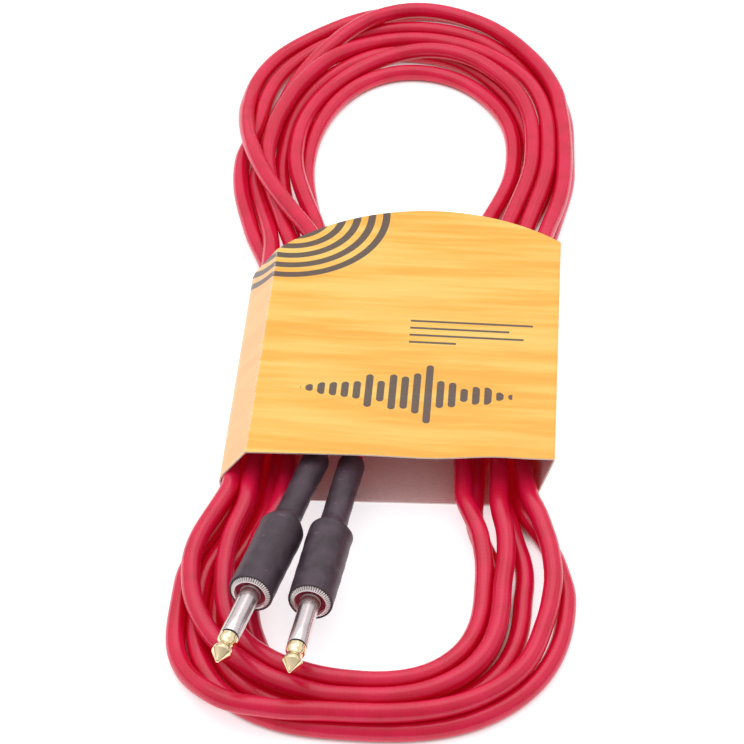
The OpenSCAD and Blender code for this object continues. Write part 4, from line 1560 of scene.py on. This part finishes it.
@dataclass
class CardSleeve:
    """Band of printed card folded round the hank, with an arched rear edge."""

    card: float = 0.5 * MM
    height: float = 22.4 * MM
    front: float = -88 * MM
    length: float = 106 * MM
    arch: float = 20 * MM
    front_skew: float = 4 * MM
    rear_skew: float = 11 * MM
    flap: float = 16 * MM
    flap_back: float = 0.6 * MM
    column: float = 2.2 * MM
    ripple_reach: float = 45 * MM
    ripples: tuple[Triple, ...] = ((-0.8, 16, 13), (0.6, 38, 9))
    sag: float = 0.175
    sag_from: float = 70 * MM
    sag_ramp: float = 50 * MM
    steps: int = 6
    rows: int = 72
    corners: tuple[Triple, ...] = (
        (-43.183, 22.4, 0.7), (58.033, 22.4, 0.8), (51.933, 2.343, 2.5),
        (49.59, 0.0, 2.5), (-50.183, 0.0, 1.0), (-53.183, 8.96, 14.0),
    )

    @property
    def half(self) -> float:
        """Half the distance between the top folds."""
        return (self.corners[1][0] - self.corners[0][0]) / 2 * MM

    @property
    def middle(self) -> float:
        """Middle between the top folds."""
        return (self.corners[1][0] + self.corners[0][0]) / 2 * MM

    def outline(self) -> tuple[Array, Array]:
        """Section of the band, seen from its front end.

        Returns:
            Points from the left fold round over the top, and the distance along
            the card to each, with the join in the bottom panel.
        """
        table = np.array(self.corners) * MM
        join = np.array([[0.0, 0.0]])
        loop = np.concatenate([join, table[4:, :2], table[:4, :2], join])
        rounded = fillet(loop, [*table[4:, 2], *table[:4, 2]], self.steps)
        along = lengths_along(rounded)
        fine = np.unique(np.concatenate([along, np.arange(0.0, along[-1], self.column)]))
        fine = fine[np.concatenate([[True], np.diff(fine) > 0.05 * MM])]
        points = np.column_stack([np.interp(fine, along, rounded[:, i]) for i in range(2)])
        fold = fine[np.argmin(np.abs(points - table[0, :2]).sum(axis=1))]
        return points, fine - fold

    def cuts(self, x: Array) -> tuple[Array, Array]:
        """Y of the front and the rear cut, which run straight but a little askew."""
        share = (x - self.middle) / self.half
        return (self.front + 0.5 * self.front_skew * share,
                self.front + self.length + 0.5 * self.rear_skew * share)

    def arched(self, x: Array, straight: Array) -> Array:
        """Draw the rear edge of the top panel: an arc over the straight cut.

        Args:
            x: places across the card.
            straight: Y of the straight cut there.
        Returns:
            Y of the edge there.
        """
        chord = math.hypot(self.half, 0.5 * self.rear_skew)
        radius = (chord**2 + self.arch**2) / (2 * self.arch)
        turn = math.atan2(0.5 * self.rear_skew, self.half)
        drop = self.arch - radius
        centre_x = self.middle - drop * math.sin(turn)
        centre_y = self.front + self.length + drop * math.cos(turn)
        arc = centre_y + np.sqrt(np.clip(radius**2 - (x - centre_x) ** 2, 0.0, None))
        return np.maximum(arc, straight)

    def ripple(self, x: Array, y: Array, on_top: Array) -> Array:
        """Dip and rise of the top panel near its front edge, and its slight sag behind.

        Args:
            x: places across the card.
            y: places along it.
            on_top: which of them lie on the top panel.
        Returns:
            What is added to the height.
        """
        near = eased((self.front + self.ripple_reach - y) / self.ripple_reach)
        waves = sum(rise * np.exp(-((x / MM - place) / width) ** 2)
                    for rise, place, width in self.ripples)
        across = np.clip((x - self.middle) / self.half, -1, 1)
        far = eased((y - self.front - self.sag_from) / self.sag_ramp)
        return (near * waves - self.sag * np.cos(across * np.pi / 2) * far) * MM * on_top

    def build(self, finishes: dict[str, Material]) -> Piece:
        """Make the band: two skins a card's thickness apart, joined at every edge.

        Args:
            finishes: materials by name.
        Returns:
            The sleeve's object.
        """
        points, along = self.outline()
        ahead = np.gradient(points, axis=0)
        ahead /= np.linalg.norm(ahead, axis=1, keepdims=True)
        top = (along > -0.2 * MM) & (along < 2 * self.half + 0.2 * MM)
        x, z = points.T
        front, rear = self.cuts(x)
        rear = np.where(top, self.arched(x, rear), rear)
        y = mixed(front, rear, np.linspace(0.0, 1.0, self.rows)[:, None])
        wave = self.ripple(x, y, top)
        skins = [np.stack([np.broadcast_to(x + ahead[:, 1] * depth, y.shape), y,
                           z - ahead[:, 0] * depth + wave], axis=2)
                 for depth in (0.0, self.card)]
        vertices = np.concatenate(skins).reshape(-1, 3)
        kinds = board_faces(self.rows, len(x))
        faces = np.concatenate(kinds)
        spread = np.column_stack([np.tile(along, 2 * self.rows), vertices[:, 1] - self.front])
        sleeve = mesh_object("sleeve_card", vertices, faces.tolist(), spread[faces.ravel()])
        slots = np.repeat([face.slot for face in CardFace], [len(kind) for kind in kinds])
        for face in CardFace:
            sleeve.data.materials.append(finishes[face.value])
        sleeve.data.polygons.foreach_set("material_index", slots.astype(np.int32))
        crease(sleeve, 50.0)
        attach(sleeve, "sleeve")
        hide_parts("card_sleeve")
        self.overlap(finishes)
        LOG.info("sleeve: %d points round, %d rows", len(x), self.rows)
        return sleeve

    def overlap(self, finishes: dict[str, Material]) -> None:
        """Lay the glued overlap inside the bottom panel.

        Args:
            finishes: materials by name.
        """
        rows, columns = 8, 9
        x = np.linspace(-0.5 * self.flap, 0.5 * self.flap, columns)
        front, rear = self.cuts(x)
        y = mixed(front + self.flap_back, rear - self.flap_back,
                  np.linspace(0.0, 1.0, rows)[:, None])
        skins = [np.stack([np.broadcast_to(x, y.shape), y, np.full_like(y, z)], axis=2)
                 for z in (1.5 * self.card, self.card + 0.01 * MM)]
        faces = np.concatenate(board_faces(rows, columns))
        flap = mesh_object("sleeve_overlap", np.concatenate(skins).reshape(-1, 3),
                           faces.tolist(), smooth=False)
        flap.data.materials.append(finishes[CardFace.INSIDE.value])
        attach(flap, "sleeve")


# ------------------------------------------------------------------ the studio

@dataclass
class Studio:
    """White floor, a bright sky with one soft light, and the camera."""

    aim: Triple = (-0.0058, -0.0335, 0.008)
    distance: float = 0.865
    heading: float = 4.2
    dip: float = 43.0
    lens: float = 120.97
    sensor: float = 36.0
    clip: Pair = (0.05, 20.0)
    height_levels: tuple[float, float, float, float] = (0.10, 0.26, 0.15, 0.95)
    depth_levels: tuple[float, float, float, float] = (-0.8, 0.0, 0.5, 1.0)
    sky_tint: Colour = (1.0, 0.96, 0.99)
    key_tint: Colour = (1.0, 0.93, 0.97)
    key_power: float = 5.2
    key_place: Triple = (-0.15, 0.28, 1.05)
    key_size: Pair = (1.5, 1.0)
    floor_half: float = 3.0
    floor_depth: float = 20 * MM
    floor_tint: Colour = (0.62, 0.62, 0.62)
    floor_glow: Colour = (1.0, 0.985, 1.0)
    shade_tint: Colour = (0.25, 0.004, 0.010)
    shade_glow: Colour = (0.10, 0.001, 0.003)
    shade_reach: float = 5 * MM
    glow_power: float = 0.68

    def camera(self) -> None:
        """Set the camera to look down along the hank."""
        data = bpy.data.cameras.new("camera")
        data.lens, data.sensor_width, data.sensor_fit = self.lens, self.sensor, "HORIZONTAL"
        data.clip_start, data.clip_end = self.clip
        made = linked("camera", data)
        turn, dip = math.radians(self.heading), math.radians(self.dip)
        ahead = Vector((-math.sin(turn) * math.cos(dip), math.cos(turn) * math.cos(dip),
                        -math.sin(dip)))
        right = Vector((math.cos(turn), math.sin(turn), 0.0))
        spin = Matrix((right, right.cross(ahead), -ahead)).transposed()
        place = Vector(self.aim) - ahead * self.distance
        made.matrix_world = Matrix.Translation(place) @ spin.to_4x4()
        bpy.context.scene.camera = made

    def floor(self) -> None:
        """Lay the floor, a slab whose top is level with z = 0.

        It is white, glows a little, and takes on the jacket's red where the cord
        shuts out the light.
        """
        side = self.floor_half
        corners = np.array([[x, y, z] for z in (-self.floor_depth, 0.0)
                            for x, y in ((-side, -side), (side, -side), (side, side),
                                         (-side, side))])
        faces = [(3, 2, 1, 0), (4, 5, 6, 7), (0, 1, 5, 4), (1, 2, 6, 5), (2, 3, 7, 6),
                 (3, 0, 4, 7)]
        slab = mesh_object("floor", corners, faces, smooth=False)
        g = Graph("floor_white")
        free = g.open_to_light(self.shade_reach).ramp(0.10, 0.45)
        slab.data.materials.append(g.finish(
            Base_Color=g.colour(free, self.shade_tint, self.floor_tint), Roughness=0.6,
            Emission_Color=g.colour(free, self.shade_glow, self.floor_glow),
            Emission_Strength=self.glow_power))

    def key(self) -> None:
        """Hang the one lamp, a wide soft one that faces the middle of the hank."""
        data = bpy.data.lights.new("key", "AREA")
        data.shape, (data.size, data.size_y) = "RECTANGLE", self.key_size
        data.energy, data.color = self.key_power, self.key_tint
        made = linked("key", data)
        made.location = self.key_place
        facing = -Vector(self.key_place)
        made.rotation_euler = facing.to_track_quat("-Z", "Y").to_euler()

    def sky(self) -> None:
        """Surround the object with light: strong above and behind, weak at the horizon
        and on the camera's side.
        """
        world = bpy.data.worlds.new("studio")
        world.use_nodes = True
        nodes, links = world.node_tree.nodes, world.node_tree.links
        towards = nodes.new("ShaderNodeTexCoord")
        split = nodes.new("ShaderNodeSeparateXYZ")
        links.new(towards.outputs["Generated"], split.inputs[0])
        product = nodes.new("ShaderNodeMath")
        product.operation = "MULTIPLY"
        for number, (part, levels) in enumerate((("Z", self.height_levels),
                                                 ("Y", self.depth_levels))):
            ramp = nodes.new("ShaderNodeMapRange")
            ramp.interpolation_type = "SMOOTHSTEP"
            for name, value in zip(("From Min", "From Max", "To Min", "To Max"), levels):
                ramp.inputs[name].default_value = value
            links.new(split.outputs[part], ramp.inputs["Value"])
            links.new(ramp.outputs[0], product.inputs[number])
        links.new(product.outputs[0], nodes["Background"].inputs["Strength"])
        nodes["Background"].inputs["Color"].default_value = (*self.sky_tint, 1.0)
        bpy.context.scene.world = world

    def build(self) -> None:
        """Set the whole studio up."""
        bpy.context.scene.view_settings.view_transform = "Standard"
        for part in (self.sky, self.camera, self.floor, self.key):
            part()
        LOG.info("studio: camera, floor and lights")


# ------------------------------------------------------------------------ main

def finishes() -> dict[str, Material]:
    """Build every material once.

    Returns:
        The materials by name.
    """
    made = {
        "gold": TurnedFinish("gold_plate", (0.92, 0.76, 0.46), 0.12),
        "shaft": TurnedFinish("nickel_shaft", (0.70, 0.64, 0.63), 0.25),
        # Painted shade: a darker copy of the shaft's nickel, standing in for the shade in the
        # recess round the shaft's root.
        "collar": TurnedFinish("nickel_collar_painted_shade", (0.58, 0.52, 0.51), 0.22),
        "nickel": MetalFinish("nickel_plate", (0.74, 0.71, 0.71), 0.20),
        # bright_ring: near-white and half metallic, a painted reflection of bright surroundings.
        "bright_ring": KnurledFinish("bright_ring", (0.98, 0.94, 0.90), 0.26),
        "lug_brass": MetalFinish("tinned_brass", (0.62, 0.60, 0.55), 0.35),
        "copper": MetalFinish("copper_strands", (0.80, 0.42, 0.24), 0.35),
        "solder": MetalFinish("solder_tin", (0.60, 0.60, 0.61), 0.4),
        "black_plastic": PlasticFinish("black_ring", (0.012, 0.012, 0.014), 0.35),
        "red_washer": PlasticFinish("red_washer", (0.38, 0.018, 0.055), 0.40),
        "brown_board": PlasticFinish("brown_board", (0.15, 0.06, 0.025), 0.6),
        "pale_plastic": PlasticFinish("milky_plastic", (0.80, 0.76, 0.66), 0.45),
        "boot_a": BootFinish("boot_charcoal_a"),
        "boot_b": BootFinish("boot_charcoal_b", (0.070, 0.043, 0.060)),
        "boot": BootFinish("boot_charcoal"),
        "card_print": CardPrint(),
        # card_inside: pale card tinted pink with painted red bounce light from the cord.
        "card_inside": CardBack("card_inside", (0.94, 0.70, 0.66), (0.78, 0.54, 0.50)),
        "card_edge": CardBack("card_edge", (0.86, 0.80, 0.74), (0.70, 0.62, 0.54)),
        "card": PlasticFinish("card_plain", (0.97, 0.60, 0.14), 0.5),
        "jacket": JacketFinish(),
    }
    return {name: finish.material() for name, finish in made.items()}


def main() -> None:
    """Build the classes in order."""
    logging.basicConfig(level=logging.INFO, format="%(message)s")
    mounts = {mount["name"]: mount for mount in frame["record"]["mounts"]}
    places = [PlugPlace.from_mount(side, mounts[f"plug_{side}_shaft"]) for side in "ab"]
    dressed = finishes()
    for row in frame["record"]["subparts"]:
        mesh = bpy.data.objects[row["node"]].data
        mesh.materials.clear()
        mesh.materials.append(dressed[row["material_slot"]])
    CardSleeve().build(dressed)
    plugs = [Plug(place, seed=seed) for place, seed in zip(places, (0.6, 2.9))]
    for plug in plugs:
        plug.build(dressed)
    Cable().build(places, dressed["jacket"], plugs[0].shown())
    Studio().build()


if __name__ == "__main__":
    main()
